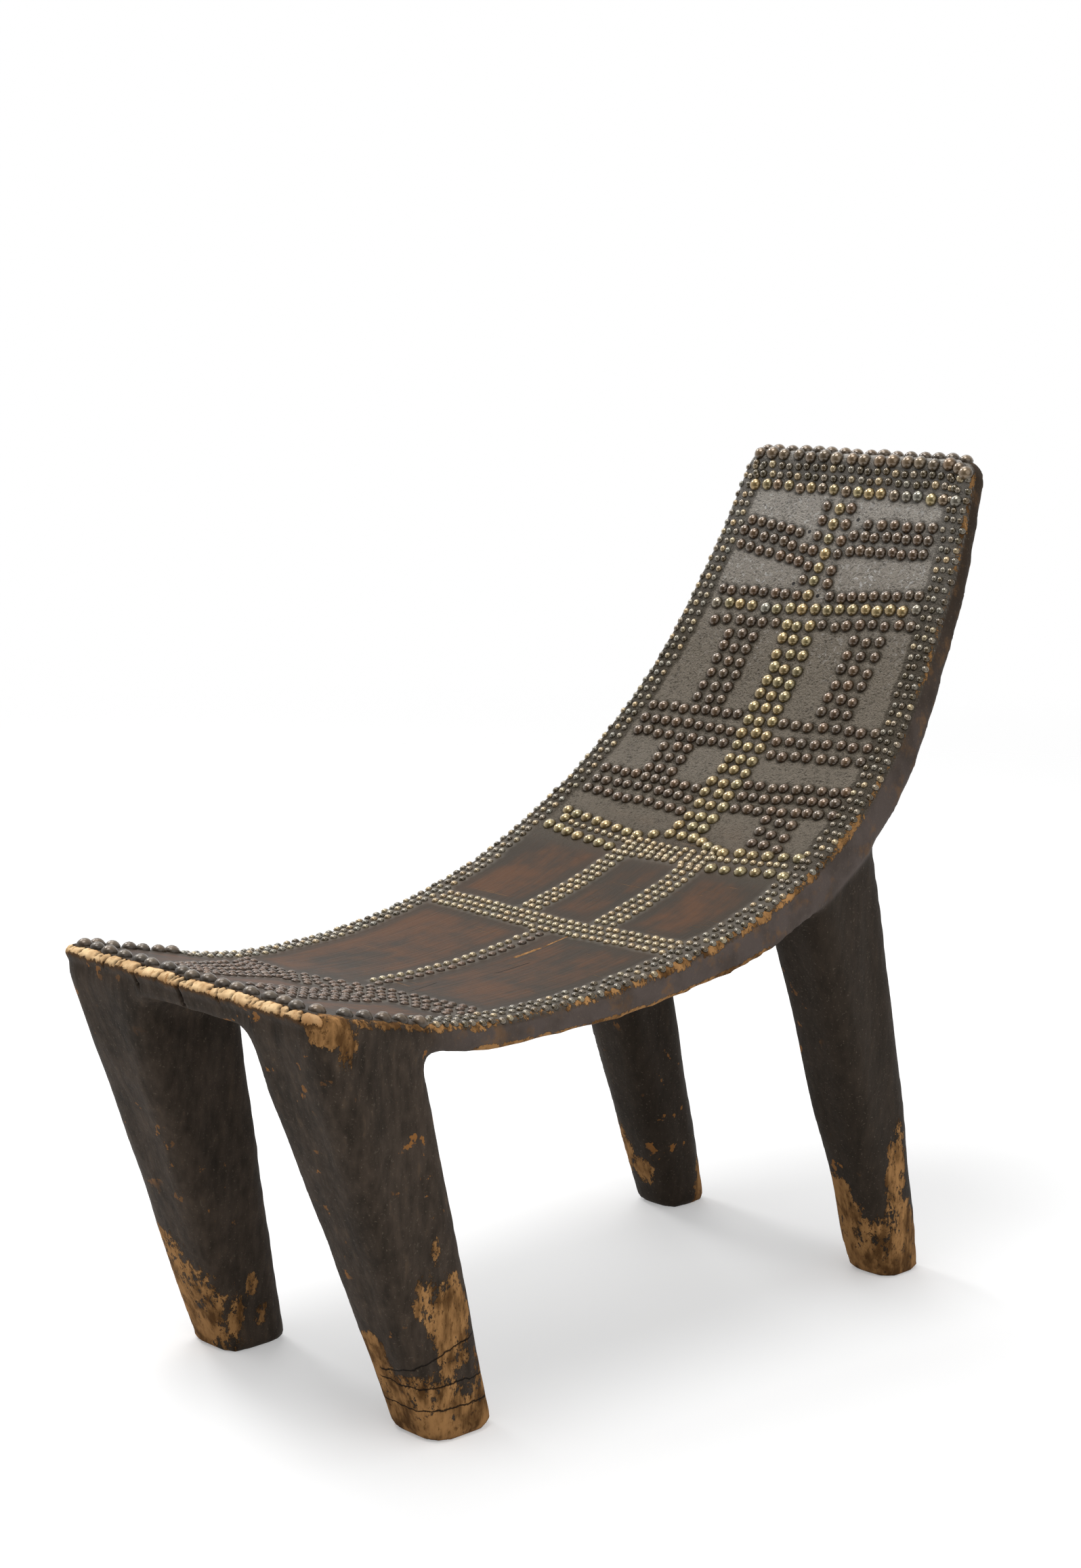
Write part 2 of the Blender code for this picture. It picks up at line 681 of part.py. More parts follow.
def build_top_rows():
    """Rows along the top edge and on the end face above it."""
    edge = TOP_HALF_WIDTH - TOP_ROW_MARGIN
    inner = edge - pitch_of("iron") / 2
    places = spaced((-inner, 0.0), (inner, 0.0), pitch_of("iron"))
    tack_row("top_face_row", "iron", [top_face_point(x, TOP_THICKNESS / 2) for x, _ in places])
    rows = [("top_edge_row", "iron", TOP_EDGE_DROP)]
    rows += [(f"top_small_row_{i + 1}", "small", drop) for i, drop in enumerate(TOP_SMALL_DROPS)]
    rows += [("top_brass_row", "brass", TOP_BRASS_DROP)]
    for name, kind, drop in rows:
        surface_row(name, kind, [(-edge, LENGTH - drop), (edge, LENGTH - drop)])


def build_stem():
    """The stem of three columns, with the groups of rows on both sides of it."""
    low = LENGTH - MIDDLE_DROP + BRASS_HEAD + BRASS_GAP
    surface_row("stem_middle", "brass", [(STEM_X, LENGTH - STEM_DROP), (STEM_X, low)])
    for side, word in SIDES:
        x = STEM_X + side * STEM_SPREAD
        s = LENGTH - STEM_DROP
        surface_row(f"stem_{word}", "copper", [(x, s), (x, s - STEM_SIDE_LENGTH)])
    for name, side, inner_drop, outer_drop in STEM_GROUPS:
        inner_x = STEM_X + side * (STEM_SPREAD + COPPER_HEAD + STEM_CLEAR)
        build_group(name, side, inner_drop, outer_drop, lambda drop, x=inner_x: x)


def build_group(name, side, inner_drop, outer_drop, inner_x):
    """Three copper rows, one under another, from inner_x(drop) out to the border."""
    word = dict(SIDES)[side]
    for k in range(3):
        drop = inner_drop + k * GROUP_PITCH
        end = outer_end(side, LENGTH - outer_drop - k * GROUP_PITCH)
        surface_row(f"{name}_{k + 1}_{word}", "copper", [(inner_x(drop), LENGTH - drop), end])


def build_middle_rows():
    """A brass row across the back with a copper row above and below it on each side."""
    outer_drops = {-1: MIDDLE_DROP_LEFT, 1: MIDDLE_DROP_RIGHT}
    middle = (SPINE_TOP_X, LENGTH - MIDDLE_DROP)
    ends = {side: outer_end(side, LENGTH - drop) for side, drop in outer_drops.items()}
    surface_row("middle_brass_row", "brass", [ends[-1], middle, ends[1]])
    clear = SPINE_SPREAD + (BRASS_HEAD + COPPER_HEAD) / 2 + SPINE_CLEAR
    for side, word in SIDES:
        share = clear / abs(ends[side][0] - middle[0])
        inner_s = middle[1] + (ends[side][1] - middle[1]) * share
        inner_x = SPINE_TOP_X + side * clear
        for name, shift in (("middle_row", MIDDLE_PITCH), ("lower_row", -MIDDLE_PITCH)):
            end = outer_end(side, ends[side][1] + shift)
            surface_row(f"{name}_{word}", "copper", [(inner_x, inner_s + shift), end])


def build_spine():
    """The spine of three brass columns, with its groups of rows and the posts between them."""
    for column, word in ((-1, "left"), (0, "middle"), (1, "right")):
        shift = column * SPINE_SPREAD
        top = (SPINE_TOP_X + shift, LENGTH - SPINE_DROP)
        foot = (SPINE_FOOT_X + shift, LENGTH - SPINE_FOOT_DROP)
        surface_row(f"spine_{word}", "brass", [top, foot])
    clear = SPINE_SPREAD + (BRASS_HEAD + COPPER_HEAD) / 2 + SPINE_CLEAR
    for name, side, inner_drop, outer_drop in SPINE_GROUPS:
        build_group(name, side, inner_drop, outer_drop, lambda drop, side=side: spine_x(drop) + side * clear)
    for name, x, end_x, drop, end_drop in POSTS:
        post(name, "copper", (x, LENGTH - drop), (end_x, LENGTH - end_drop), POST_COLUMN_GAP)


def build_head_rows():
    """At the head of the seat: on each side a brass row, a row of small tacks and a brass row."""
    for side, inner_x, inner_drop, outer_drop in HEAD_ROWS:
        word = dict(SIDES)[side]
        band_x = LONG_BAND_LEFT_X if side < 0 else LONG_BAND_RIGHT_X
        low_x = abs(band_x) + (SMALL_HEAD + BRASS_HEAD) / 2 + HEAD_CLEAR
        rows = (
            ("seat_head_row_1", "brass", 0, inner_x),
            ("seat_head_small", "small", 1, (inner_x + low_x) / 2),
            ("seat_head_row_2", "brass", 2, low_x),
        )
        for name, kind, k, x in rows:
            start = (side * x, LENGTH - inner_drop - k * HEAD_PITCH)
            end = outer_end(side, LENGTH - outer_drop - k * HEAD_PITCH)
            surface_row(f"{name}_{word}", kind, [start, end])


def build_seat_rows():
    """The bands that part the seat into panels."""
    s = CROSS_BAND_REACH
    clear = SMALL_HEAD + CROSS_BAND_CLEAR
    surface_row("cross_band", "small", [outer_end(-1, s), outer_end(1, s)])
    top = LENGTH - LONG_BAND_TOP_DROP
    for (_, word), x in zip(SIDES, (LONG_BAND_LEFT_X, LONG_BAND_RIGHT_X)):
        surface_row(f"long_band_{word}", "small", [(x, s + clear), (x, top)])
    spread = (SMALL_HEAD + MEDIUM_HEAD) / 4 + CENTRE_GAP / 2
    for (side, word), kind in zip(SIDES, ("small", "medium")):
        x = CENTRE_X + side * spread
        surface_row(f"centre_row_{word}", kind, [(x, CENTRE_REACH), (x, s - clear)])


def build_front_rows():
    """The slanting band near the front, its two posts and the row along the lip."""
    pitch = pitch_of("medium")
    for number, shift in ((1, pitch / 2), (2, -pitch / 2)):
        left = outer_end(-1, FRONT_BAND_LEFT_REACH + shift)
        right = outer_end(1, FRONT_BAND_RIGHT_REACH + shift)
        surface_row(f"front_band_{number}", "medium", [left, right])
    clear = pitch + MEDIUM_HEAD / 2 + FRONT_POST_CLEAR
    for name, x, front_x in FRONT_POSTS:
        share = (x - left[0]) / (right[0] - left[0])
        band_s = FRONT_BAND_LEFT_REACH + (FRONT_BAND_RIGHT_REACH - FRONT_BAND_LEFT_REACH) * share
        post(name, "medium", (x, band_s - clear), (front_x, FRONT_POST_REACH), MEDIUM_GAP)
    edge = half_width(FRONT_ROW_REACH) - ROW_MARGIN / 2
    surface_row("front_edge_row", "iron", [(-edge, FRONT_ROW_REACH), (edge, FRONT_ROW_REACH)])


def build_borders():
    """One row of small tacks along each side of the slab."""
    steps = math.ceil(LENGTH / ARC_STEP)
    for side, word in SIDES:
        path = []
        for i in range(steps + 1):
            s = BORDER_REACH + (LENGTH - BORDER_DROP - BORDER_REACH) * i / steps
            path.append((side * (half_width(s) - BORDER_INSET), s))
        surface_row(f"border_{word}", "small", path)


for old in list(bpy.data.objects):
    bpy.data.objects.remove(old)

carved_wood = build_wood()
build_top_rows()
build_stem()
build_middle_rows()
build_spine()
build_head_rows()
build_seat_rows()
build_front_rows()
build_borders()
bmesh.ops.recalc_face_normals(holes, faces=holes.faces)
hole_mesh = bpy.data.meshes.new("shank_holes")
holes.to_mesh(hole_mesh)
holes.free()
boolean(carved_wood, new_object("shank_holes", hole_mesh, None), "DIFFERENCE")
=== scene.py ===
# %% [markdown]
# # A carved stool studded with tacks
# The stool is cut from one block of wood: a slab that is seat and back in one, on four tapering legs.
# More than a thousand tacks with domed heads are driven into its upper face. This lesson dresses the
# packed CAD model. The wood becomes a fine mesh with tool marks, chips and cracks, and every tack
# becomes a head of its own, seated on that wood.

import math
import random

import bpy
import numpy as np
from mathutils import Matrix, Vector, noise
from mathutils.bvhtree import BVHTree
from mathutils.kdtree import KDTree


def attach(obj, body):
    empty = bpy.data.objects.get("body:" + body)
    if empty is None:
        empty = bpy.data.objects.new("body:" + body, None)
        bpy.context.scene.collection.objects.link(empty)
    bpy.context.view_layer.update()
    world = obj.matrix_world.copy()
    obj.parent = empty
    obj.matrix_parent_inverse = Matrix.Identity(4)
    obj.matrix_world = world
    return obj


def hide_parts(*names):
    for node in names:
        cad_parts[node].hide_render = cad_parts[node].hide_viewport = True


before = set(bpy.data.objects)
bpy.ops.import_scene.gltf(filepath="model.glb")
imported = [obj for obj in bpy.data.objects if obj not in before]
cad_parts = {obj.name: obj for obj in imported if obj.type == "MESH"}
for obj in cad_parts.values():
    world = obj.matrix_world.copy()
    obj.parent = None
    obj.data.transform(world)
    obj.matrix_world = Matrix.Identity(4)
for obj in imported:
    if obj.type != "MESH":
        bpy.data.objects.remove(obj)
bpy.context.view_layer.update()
MM = 0.001
print("nodes in the frame:", len(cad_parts))

# %% [markdown]
# ## The camera
# The photograph was taken from the right of the front, a little above the seat. The place and the
# angles below were found by fitting the four feet and the outlines, so the render can be laid over
# the photograph. Blender counts the sensor's 36 mm along the long side of the picture.

# %% Place the camera
CAMERA_PLACE = (1.5383, -1.48207, 0.7922)
CAMERA_TURN = 0.81156
CAMERA_DROP = 0.17655
CAMERA_LENS = 66.01

camera_data = bpy.data.cameras.new("camera")
camera_data.lens = CAMERA_LENS
camera = bpy.data.objects.new("camera", camera_data)
camera.location = CAMERA_PLACE
camera.rotation_euler = (math.pi / 2 - CAMERA_DROP, 0.0, CAMERA_TURN)
bpy.context.scene.collection.objects.link(camera)
bpy.context.scene.camera = camera
print("camera", CAMERA_PLACE, "lens", CAMERA_LENS)

# %% [markdown]
# ## Places on the slab
# Seen from the side, the slab's upper face is five arcs that run on from one another, with the CAD
# source's own sizes. A place on it is then two numbers, as on a flat plan: x across, and s along the
# run from the front lip to the top of the back. Going back from a point to its s and its depth under
# the face is easy too, because each arc has a centre.

# %% The run of the slab
LIP_Y = -0.35567
LIP_HEIGHT = 0.323
LIP_TILT = math.radians(-14.0)
RUN_ARCS = ((0.0977, 6.0), (0.0912, 0.40), (0.1915, 0.728), (0.2835, 0.411), (0.196, 0.754))
RUN = sum(length for length, _ in RUN_ARCS)


def run_arcs():
    """(s, angle, centre y, centre z, length, radius) of each arc of the run."""
    s, angle, y, z = 0.0, LIP_TILT, LIP_Y, LIP_HEIGHT
    for length, radius in RUN_ARCS:
        centre_y = y - radius * math.sin(angle)
        centre_z = z + radius * math.cos(angle)
        yield s, angle, centre_y, centre_z, length, radius
        s += length
        angle += length / radius
        y = centre_y + radius * math.sin(angle)
        z = centre_z - radius * math.cos(angle)


ARCS = list(run_arcs())


def face_point(x, s):
    """A point of the upper face, the way up from it and the way on along the run."""
    start, angle, y, z, _, radius = [arc for arc in ARCS if arc[0] <= max(s, 0.0)][-1]
    turned = angle + (s - start) / radius
    up = Vector((0.0, -math.sin(turned), math.cos(turned)))
    on = Vector((0.0, math.cos(turned), math.sin(turned)))
    return Vector((x, y, z)) - up * radius, up, on


def slab_places(points):
    """The s and the depth under the upper face of an array of points."""
    s = np.zeros(len(points))
    depth = np.zeros(len(points))
    for k, (start, angle, y, z, length, radius) in enumerate(ARCS):
        turned = np.arctan2(points[:, 1] - y, z - points[:, 2])
        along = start + (turned - angle) * radius
        here = along >= start if k else np.ones(len(points), bool)
        s[here] = along[here]
        depth[here] = (np.hypot(points[:, 1] - y, points[:, 2] - z) - radius)[here]
    return s, depth


print(f"the run is {RUN:.4f} m long and ends at {face_point(0, RUN)[0].z:.3f} m")

# %% [markdown]
# ## The block of wood
# The CAD solid has the right size, but its faces are large and its arrises exact. A copy of it is
# merged and voxel remeshed, which gives small even faces all over, and a few rounds of smoothing ease
# every arris as years of handling do. The slab's edges and the front lip get smaller faces still,
# because the edges are worn along thin lines and chips are cut into the lip.

# %% Copy, merge and remesh the wood
MERGE = 1e-5
VOXEL = 0.0040
SMOOTH_ROUNDS = 3
SMOOTH_SHARE = 0.5


def only(obj):
    """Selects this object alone and makes it active."""
    bpy.ops.object.select_all(action="DESELECT")
    obj.select_set(True)
    bpy.context.view_layer.objects.active = obj


def apply_modifier(obj, kind, **settings):
    only(obj)
    modifier = obj.modifiers.new(kind.lower(), kind)
    for name, value in settings.items():
        setattr(modifier, name, value)
    bpy.ops.object.modifier_apply(modifier=modifier.name)


def edit_all(obj, *steps):
    """Runs (operator, settings) steps in edit mode on all of an object."""
    only(obj)
    bpy.ops.object.mode_set(mode="EDIT")
    bpy.ops.mesh.select_all(action="SELECT")
    for operator, settings in steps:
        operator(**settings)
    bpy.ops.object.mode_set(mode="OBJECT")


body = bpy.data.objects.new("carved_body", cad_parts["carved_wood"].data.copy())
bpy.context.scene.collection.objects.link(body)
edit_all(body, (bpy.ops.mesh.remove_doubles, {"threshold": MERGE}))
apply_modifier(body, "REMESH", mode="VOXEL", voxel_size=VOXEL)
apply_modifier(body, "SMOOTH", factor=SMOOTH_SHARE, iterations=SMOOTH_ROUNDS)
print("remeshed wood:", len(body.data.polygons), "faces")

# %% Give the edges and the lip smaller faces
LIP_ZONE = 0.030
EDGE_ZONE = 0.009
SLAB_DEPTH = 0.042
# how many cuts go through each face
LIP_CUTS = 2
EDGE_CUTS = 1
# spacing at which the slab's width is measured
WIDTH_STEP = 0.01


def triples(items, key):
    """x, y and z of this property of every vertex or face, as an array."""
    flat = np.empty(len(items) * 3)
    items.foreach_get(key, flat)
    return flat.reshape(-1, 3)


def subdivide_faces(obj, chosen, cuts):
    """Cuts the chosen faces, a boolean array, into smaller ones."""
    only(obj)
    bpy.ops.object.mode_set(mode="EDIT")
    bpy.ops.mesh.select_mode(type="FACE")
    bpy.ops.mesh.select_all(action="DESELECT")
    bpy.ops.object.mode_set(mode="OBJECT")
    obj.data.polygons.foreach_set("select", chosen)
    bpy.ops.object.mode_set(mode="EDIT")
    bpy.ops.mesh.subdivide(number_cuts=cuts, smoothness=0.0)
    bpy.ops.object.mode_set(mode="OBJECT")


def edge_gap(points, s, depth):
    """How far points of the slab are from its side edges."""
    x = np.abs(points[:, 0])
    steps = np.arange(0.0, RUN + WIDTH_STEP, WIDTH_STEP)
    edges = [x[(depth < SLAB_DEPTH) & (np.abs(s - at) < WIDTH_STEP)].max() for at in steps]
    return np.interp(s, steps, edges) - x


centres = triples(body.data.polygons, "center")
s, depth = slab_places(centres)
at_sides = (depth < SLAB_DEPTH) & (edge_gap(centres, s, depth) < EDGE_ZONE)
subdivide_faces(body, at_sides & (s > LIP_ZONE), EDGE_CUTS)
s, depth = slab_places(triples(body.data.polygons, "center"))
subdivide_faces(body, (s <= LIP_ZONE) & (depth < LIP_ZONE), LIP_CUTS)
print("refined wood:", len(body.data.polygons), "faces")

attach(body, "root")
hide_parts("carved_wood")

# %% [markdown]
# ## Tool marks
# The maker shaped the block with an adze and a knife, and their strokes left long shallow scoops with
# soft ridges between them. Voronoi cells, stretched along the grain, have that form: the distance to
# a cell's middle is low in the scoop and high on the ridge. A slow noise on top of it makes the whole
# block a little uneven. The upper face was scraped smooth, so it gets only the slow noise.

# %% Carve the scoops
SCOOP_WIDTH = 0.026
SCOOP_LENGTH = 0.150
SCOOP_DEPTH = 0.0018
SCOOP_LEVEL = 0.35
SWELL_SIZE = 0.075
SWELL_DEPTH = 0.0016
FACE_SWELL_DEPTH = 0.0006
# depths between which the scraped face ends, and the height up to which the soles stay flat
FACE_END = (0.0015, 0.009)
SOLE = 0.00375


def smooth(values, low, high):
    """0 below low, 1 above high and a soft step between them."""
    t = np.clip((values - low) / (high - low), 0.0, 1.0)
    return t * t * (3 - 2 * t)


def scoop(point):
    cell = Vector((point[0] / SCOOP_WIDTH, point[1] / SCOOP_WIDTH, point[2] / SCOOP_LENGTH))
    return min(noise.voronoi(cell)[0][0], 1.0) ** 2


def set_vertices(obj, points):
    obj.data.vertices.foreach_set("co", points.ravel())
    obj.data.update()


points = triples(body.data.vertices, "co")
s, depth = slab_places(points)
upper = 1.0 - smooth(depth, *FACE_END)
scoops = (np.array([scoop(p) for p in points]) - SCOOP_LEVEL) * SCOOP_DEPTH
swell = np.array([noise.noise(Vector(p) / SWELL_SIZE) for p in points])
height = (1 - upper) * (scoops + swell * SWELL_DEPTH) + upper * swell * FACE_SWELL_DEPTH
height[points[:, 2] < SOLE] = 0.0
set_vertices(body, points + triples(body.data.vertices, "normal") * height[:, None])
print(f"scoops and swell move the wood by {height.min() / MM:.2f} to {height.max() / MM:.2f} mm")

# %% [markdown]
# ## The worn front lip
# Years of legs against the front lip have worn it to bare pale wood with a rounded nose and a row of
# small chips, and the block has dried out there and cracked. A bump in the material would do for the
# chips, but the nose and the cracks show in the outline, so all of it is real relief: the nose is
# pushed out of the raked front face, and the chips, cracks and nicks are pushed into it.

# %% The nose of the lip
LIP_RAKE = math.tan(math.radians(20.0))
# how far behind the lip the front face ends
FRONT_END = (0.004, 0.009)
NOSE = 0.0010
NOSE_ROUND = 0.003
NOSE_FULL = 0.005
NOSE_END = 0.014

points = triples(body.data.vertices, "co")
s, depth = slab_places(points)
on_front = 1.0 - smooth(s - depth * LIP_RAKE, *FRONT_END)
under = np.maximum(depth, 0.0)
nose = on_front * (under * LIP_RAKE + NOSE * smooth(under, 0.0, NOSE_ROUND))
nose *= 1.0 - smooth(under, NOSE_FULL, NOSE_END)
print(f"the nose stands {nose.max() / MM:.1f} mm out")

# %% Chips along the lip
BAND_DEPTH = 0.0070
CHIP_SPACING = 0.0058
CHIP_DEPTH = 0.0014

chips = np.zeros(len(points))
for i in np.flatnonzero(on_front > 0):
    x, d = points[i, 0], depth[i]
    small = noise.noise(Vector((x / CHIP_SPACING, d / BAND_DEPTH, 0.0)))
    large = noise.noise(Vector((x / CHIP_SPACING / 3, d / BAND_DEPTH / 2, 5.0)))
    chips[i] = max(0.0, small * 0.6 + large) * CHIP_DEPTH * 2
chips = on_front * chips * (1.0 - smooth(depth, BAND_DEPTH * 0.6, BAND_DEPTH * 1.2))
print(f"the deepest chip is {chips.max() / MM:.1f} mm deep")

# %% Cracks and nicks, then carve all of it
# x, reach down the front face, half width and depth of each crack, in millimetres
CRACKS = [(-93, 12, 1.4, 4), (-53, 20, 1.6, 5), (-3.5, 27, 2.4, 9), (37, 13, 1.5, 4), (74, 9, 1.2, 3)]
CRACK_WANDER = 0.0025
CRACK_TURN = 0.006
# nicks are short cracks, at seeded places between these two
NICKS = 22
NICK_FIRST = -138
NICK_LAST = 132
NICK_REACH = (4.0, 10.0)
NICK_HALF = (1.3, 2.1)
NICK_DEPTH = (3.0, 4.8)

picks = random.Random(4)
short_cracks = []
for i in range(NICKS):
    x = NICK_FIRST + (NICK_LAST - NICK_FIRST) * (i + picks.uniform(0.1, 0.9)) / NICKS
    size = picks.uniform(*NICK_REACH), picks.uniform(*NICK_HALF), picks.uniform(*NICK_DEPTH)
    short_cracks.append((x, *size))
cuts = np.zeros(len(points))
for x, reach, half, deep in CRACKS + short_cracks:
    middle = x * MM + CRACK_WANDER * np.sin(depth / CRACK_TURN + x)
    across = np.clip(1.0 - np.abs(points[:, 0] - middle) / (half * MM), 0.0, 1.0)
    down = 1.0 - smooth(depth, reach * MM * 0.6, reach * MM)
    cuts = np.maximum(cuts, on_front * across * down * deep * MM)
ahead = -np.array(face_point(0.0, 0.0)[2])
dent = np.maximum(chips, cuts)
set_vertices(body, points + nose[:, None] * ahead - triples(body.data.vertices, "normal") * dent[:, None])
print(f"cracks and nicks: {len(CRACKS) + NICKS}, the deepest {cuts.max() / MM:.1f} mm deep")

# %% [markdown]
# ## Where each tack goes
# The tacks were set out by eye, so the rows bend, lean and change their spacing. Each row below is
# read off the photograph as if the face were unrolled: the place of its first and last tack and how
# many it has. The places in between are spread evenly, and a small seeded shake then makes them as
# uneven as hand work. The seat and the back are one plan, in millimetres.

# %% Helpers for the plan
SEED = 20
SHAKE = 0.09
rng = random.Random(SEED)


def line(first, last, count):
    """count places from first to last, shaken a little."""
    pitch = math.dist(first, last) / max(count - 1, 1)
    places = []
    for i in range(count):
        f = i / max(count - 1, 1)
        x = first[0] + (last[0] - first[0]) * f + rng.uniform(-1, 1) * SHAKE * pitch
        along = first[1] + (last[1] - first[1]) * f + rng.uniform(-1, 1) * SHAKE * pitch
        places.append((x, along))
    return places


def path(corners, pitch):
    """Places along a bent line, about a pitch apart."""
    places = []
    for first, last in zip(corners, corners[1:]):
        count = max(1, round(math.dist(first, last) / pitch))
        places += line(first, last, count + 1)[:-1]
    return places + [corners[-1]]


def columns(xs_first, xs_last, first, last, count):
    """Columns side by side, each from (x, first) to (x, last)."""
    return [p for a, b in zip(xs_first, xs_last) for p in line((a, first), (b, last), count)]


def add_rows(*rows):
    """Adds straight rows to the plan: name, first place, last place and count."""
    for name, first, last, count in rows:
        plan.setdefault(name, []).extend(line(first, last, count))


plan = {}
print("seed of the shakes:", SEED)

# %% Plan: the top of the back
add_rows(
    ("top_edge_row", (-109, 853.5), (96, 853.5), 15),
    ("top_small_row_1", (-108, 844.5), (110, 843.5), 24),
    ("top_small_row_2", (-106, 836.5), (107, 835), 23),
    ("top_brass_row", (-103, 826.5), (111, 824.5), 18),
    ("stem_middle", (-4.5, 810.5), (-4.5, 732.5), 7),
    ("stem_left", (-17.5, 812.5), (-17.5, 745.5), 6),
    ("stem_right", (9, 810.5), (9, 743.5), 6),
    ("upper_row_1_left", (-94, 794.5), (-38, 787.5), 6),
    ("upper_row_2_left", (-99, 785.5), (-29.5, 773.5), 7),
    ("upper_row_3_left", (-97, 773), (-28, 761.5), 7),
    ("upper_row_1_right", (31, 798.5), (98, 800.5), 6),
    ("upper_row_2_right", (21, 787.5), (97, 789.5), 8),
    ("upper_row_3_right", (21, 775), (97, 776.5), 8),
)
plan["top_edge_row"] += [(106, 851), (113, 847.5)]
print("rows at the top:", len(plan))

# %% Plan: the middle of the back
add_rows(
    ("middle_row_left", (-100, 731), (-17.5, 731.5), 8),
    ("middle_row_right", (18, 733), (107, 742.5), 9),
    ("middle_brass_row", (-100, 717.5), (-4.5, 719.5), 8),
    ("middle_brass_row", (8, 720.5), (109, 730), 9),
    ("lower_row_left", (-93.5, 702.5), (-28, 705.5), 6),
    ("lower_row_right", (22, 707.5), (109, 716.5), 8),
)
SPINE = ((705.5, -3), (665.5, 3), (628.5, 3.5), (590.5, 9), (551.5, 10), (512.5, 14.5), (488.5, 13))
SPINE_SPREAD = 12.8
SPINE_PITCH = 12.7
for name, side in (("spine_left", -1), ("spine_middle", 0), ("spine_right", 1)):
    plan[name] = path([(x + side * SPINE_SPREAD, along) for along, x in SPINE], SPINE_PITCH)
plan["upper_post_left"] = columns((-72.5, -59, -45.5), (-73, -59, -46), 691.5, 629.5, 6)
plan["upper_post_right"] = columns((60, 73, 86), (60, 73, 86), 698.5, 631.5, 6)
add_rows(
    ("cross_row_1_left", (-115, 617), (-21, 618.5), 9),
    ("cross_row_2_left", (-115.5, 603), (-18, 603), 9),
    ("cross_row_3_left", (-115, 590.5), (-18, 589), 9),
    ("cross_row_1_right", (30, 615.5), (122, 619.5), 8),
    ("cross_row_2_right", (33, 599.5), (122, 605.5), 8),
    ("cross_row_3_right", (35, 585), (123, 591.5), 8),
)
print("rows down to the middle:", len(plan))

# %% Plan: the bend and the head of the seat
plan["lower_post_left"] = columns((-76.5, -63.5, -50), (-76.5, -63.5, -50), 578.5, 554.5, 3)
plan["lower_post_right"] = columns((76, 89.5, 103), (81, 94, 109), 521.5, 494.5, 3)
add_rows(
    ("bend_row_1_left", (-120, 547), (-14, 540.5), 10),
    ("bend_row_2_left", (-119.5, 534.5), (-12, 529.5), 10),
    ("bend_row_3_left", (-121, 521), (-10, 515.5), 10),
    ("bend_row_1_right", (35, 552.5), (129, 562.5), 9),
    ("bend_row_2_right", (36, 540), (127, 551), 9),
    ("bend_row_3_right", (39, 527), (131, 538), 9),
    ("seat_head_row_1_left", (-120, 492.5), (-41, 481), 7),
    ("seat_head_row_1_right", (36, 485.5), (56, 480.5), 3),
    ("seat_head_row_1_right", (66, 478.5), (133, 490), 6),
    ("seat_head_small_left", (-104, 479.5), (-28, 470.5), 10),
    ("seat_head_small_right", (61, 470), (129, 478.5), 10),
    ("seat_head_row_2_left", (-123, 472.5), (-44, 461), 7),
    ("seat_head_row_2_right", (69, 458.5), (135, 467.5), 6),
)
plan["seat_head_row_1_left"] += [(-29, 480), (-14.5, 484.5), (-114, 483.5)]
for k in range(4):
    add_rows(
        ("seat_head_small_left", (-30, 476.5 - 6.5 * k), (11, 473 - 5 * k), 6),
        ("seat_head_small_right", (19, 473 - 5 * k), (57, 474.5 - 5.5 * k), 5),
    )
print("rows down to the head of the seat:", len(plan))

# %% Plan: the bands on the seat
BAND_PITCH = 7.6
plan["cross_band"] = []
for drop in (0, 8.5, 18):
    plan["cross_band"] += path([(-120, 355.5 - drop), (11, 351.5 - drop), (127, 357.5 - drop)], BAND_PITCH)
plan["long_band_left"] = columns((-42, -34, -26.5), (-34, -28, -21), 362.5, 456.5, 13)
plan["long_band_right"] = columns((37, 45.5, 54), (41, 49.5, 58), 362.5, 454.5, 13)
add_rows(
    ("centre_row_left", (4, 327.5), (-2, 172.5), 19),
    ("centre_row_right", (13.5, 324.5), (8, 168.5), 17),
)
print("rows down to the bands:", len(plan))

# %% Plan: the front
FRONT_PITCH = 9.6
EDGE_PITCH_RIGHT = 15
EDGE_PITCH_LEFT = 12
# corners of the four rows of the band
FRONT_BAND = (
    ((-109, 141.5), (-59, 133.5), (-17, 142.5), (13, 157.5), (63, 165.5), (107, 170.5)),
    ((-103, 131.5), (-59, 124.5), (-17, 133.5), (13, 147.5), (63, 156.5), (115, 162.5)),
    ((-97, 121.5), (-59, 115.5), (-17, 123.5), (13, 137.5), (63, 146.5), (115, 152.5)),
    ((-55, 106.5), (-17, 113.5), (13, 126.5), (63, 136.5), (111, 142.5)),
)

band_rows = [path(corners, FRONT_PITCH) for corners in FRONT_BAND]
plan["front_band_1"] = band_rows[0] + band_rows[1]
plan["front_band_2"] = band_rows[2] + band_rows[3]
plan["front_post_left"] = columns((-95, -81, -67, -49, -35), (-61, -52, -43, -34, -25), 110.5, 40, 9)
plan["front_post_right"] = columns((17, 28, 39, 50, 61), (18, 29, 40, 51, 63), 122.5, 44, 9)
add_rows(("front_edge_row", (-130, 11.5), (110, 11.5), 16))
plan["front_edge_row"] += path([(125, 16), (134, 31), (137, 95)], EDGE_PITCH_RIGHT)
plan["front_edge_row"] += path([(-136, 27), (-135, 92)], EDGE_PITCH_LEFT)
print("tacks on the plan:", sum(len(places) for places in plan.values()))

# %% [markdown]
# ## Seats on the wood
# A tack has to touch the wood from every side, so its place on the plan is only a start. A ray is
# dropped from above that place onto the finished wood, and four more rays close round it give the
# slope there. The borders follow the slab's edges, which rays from the sides find.

# %% Drop rays onto the wood
RAY_REACH = 0.02
SLOPE_STEP = 0.002
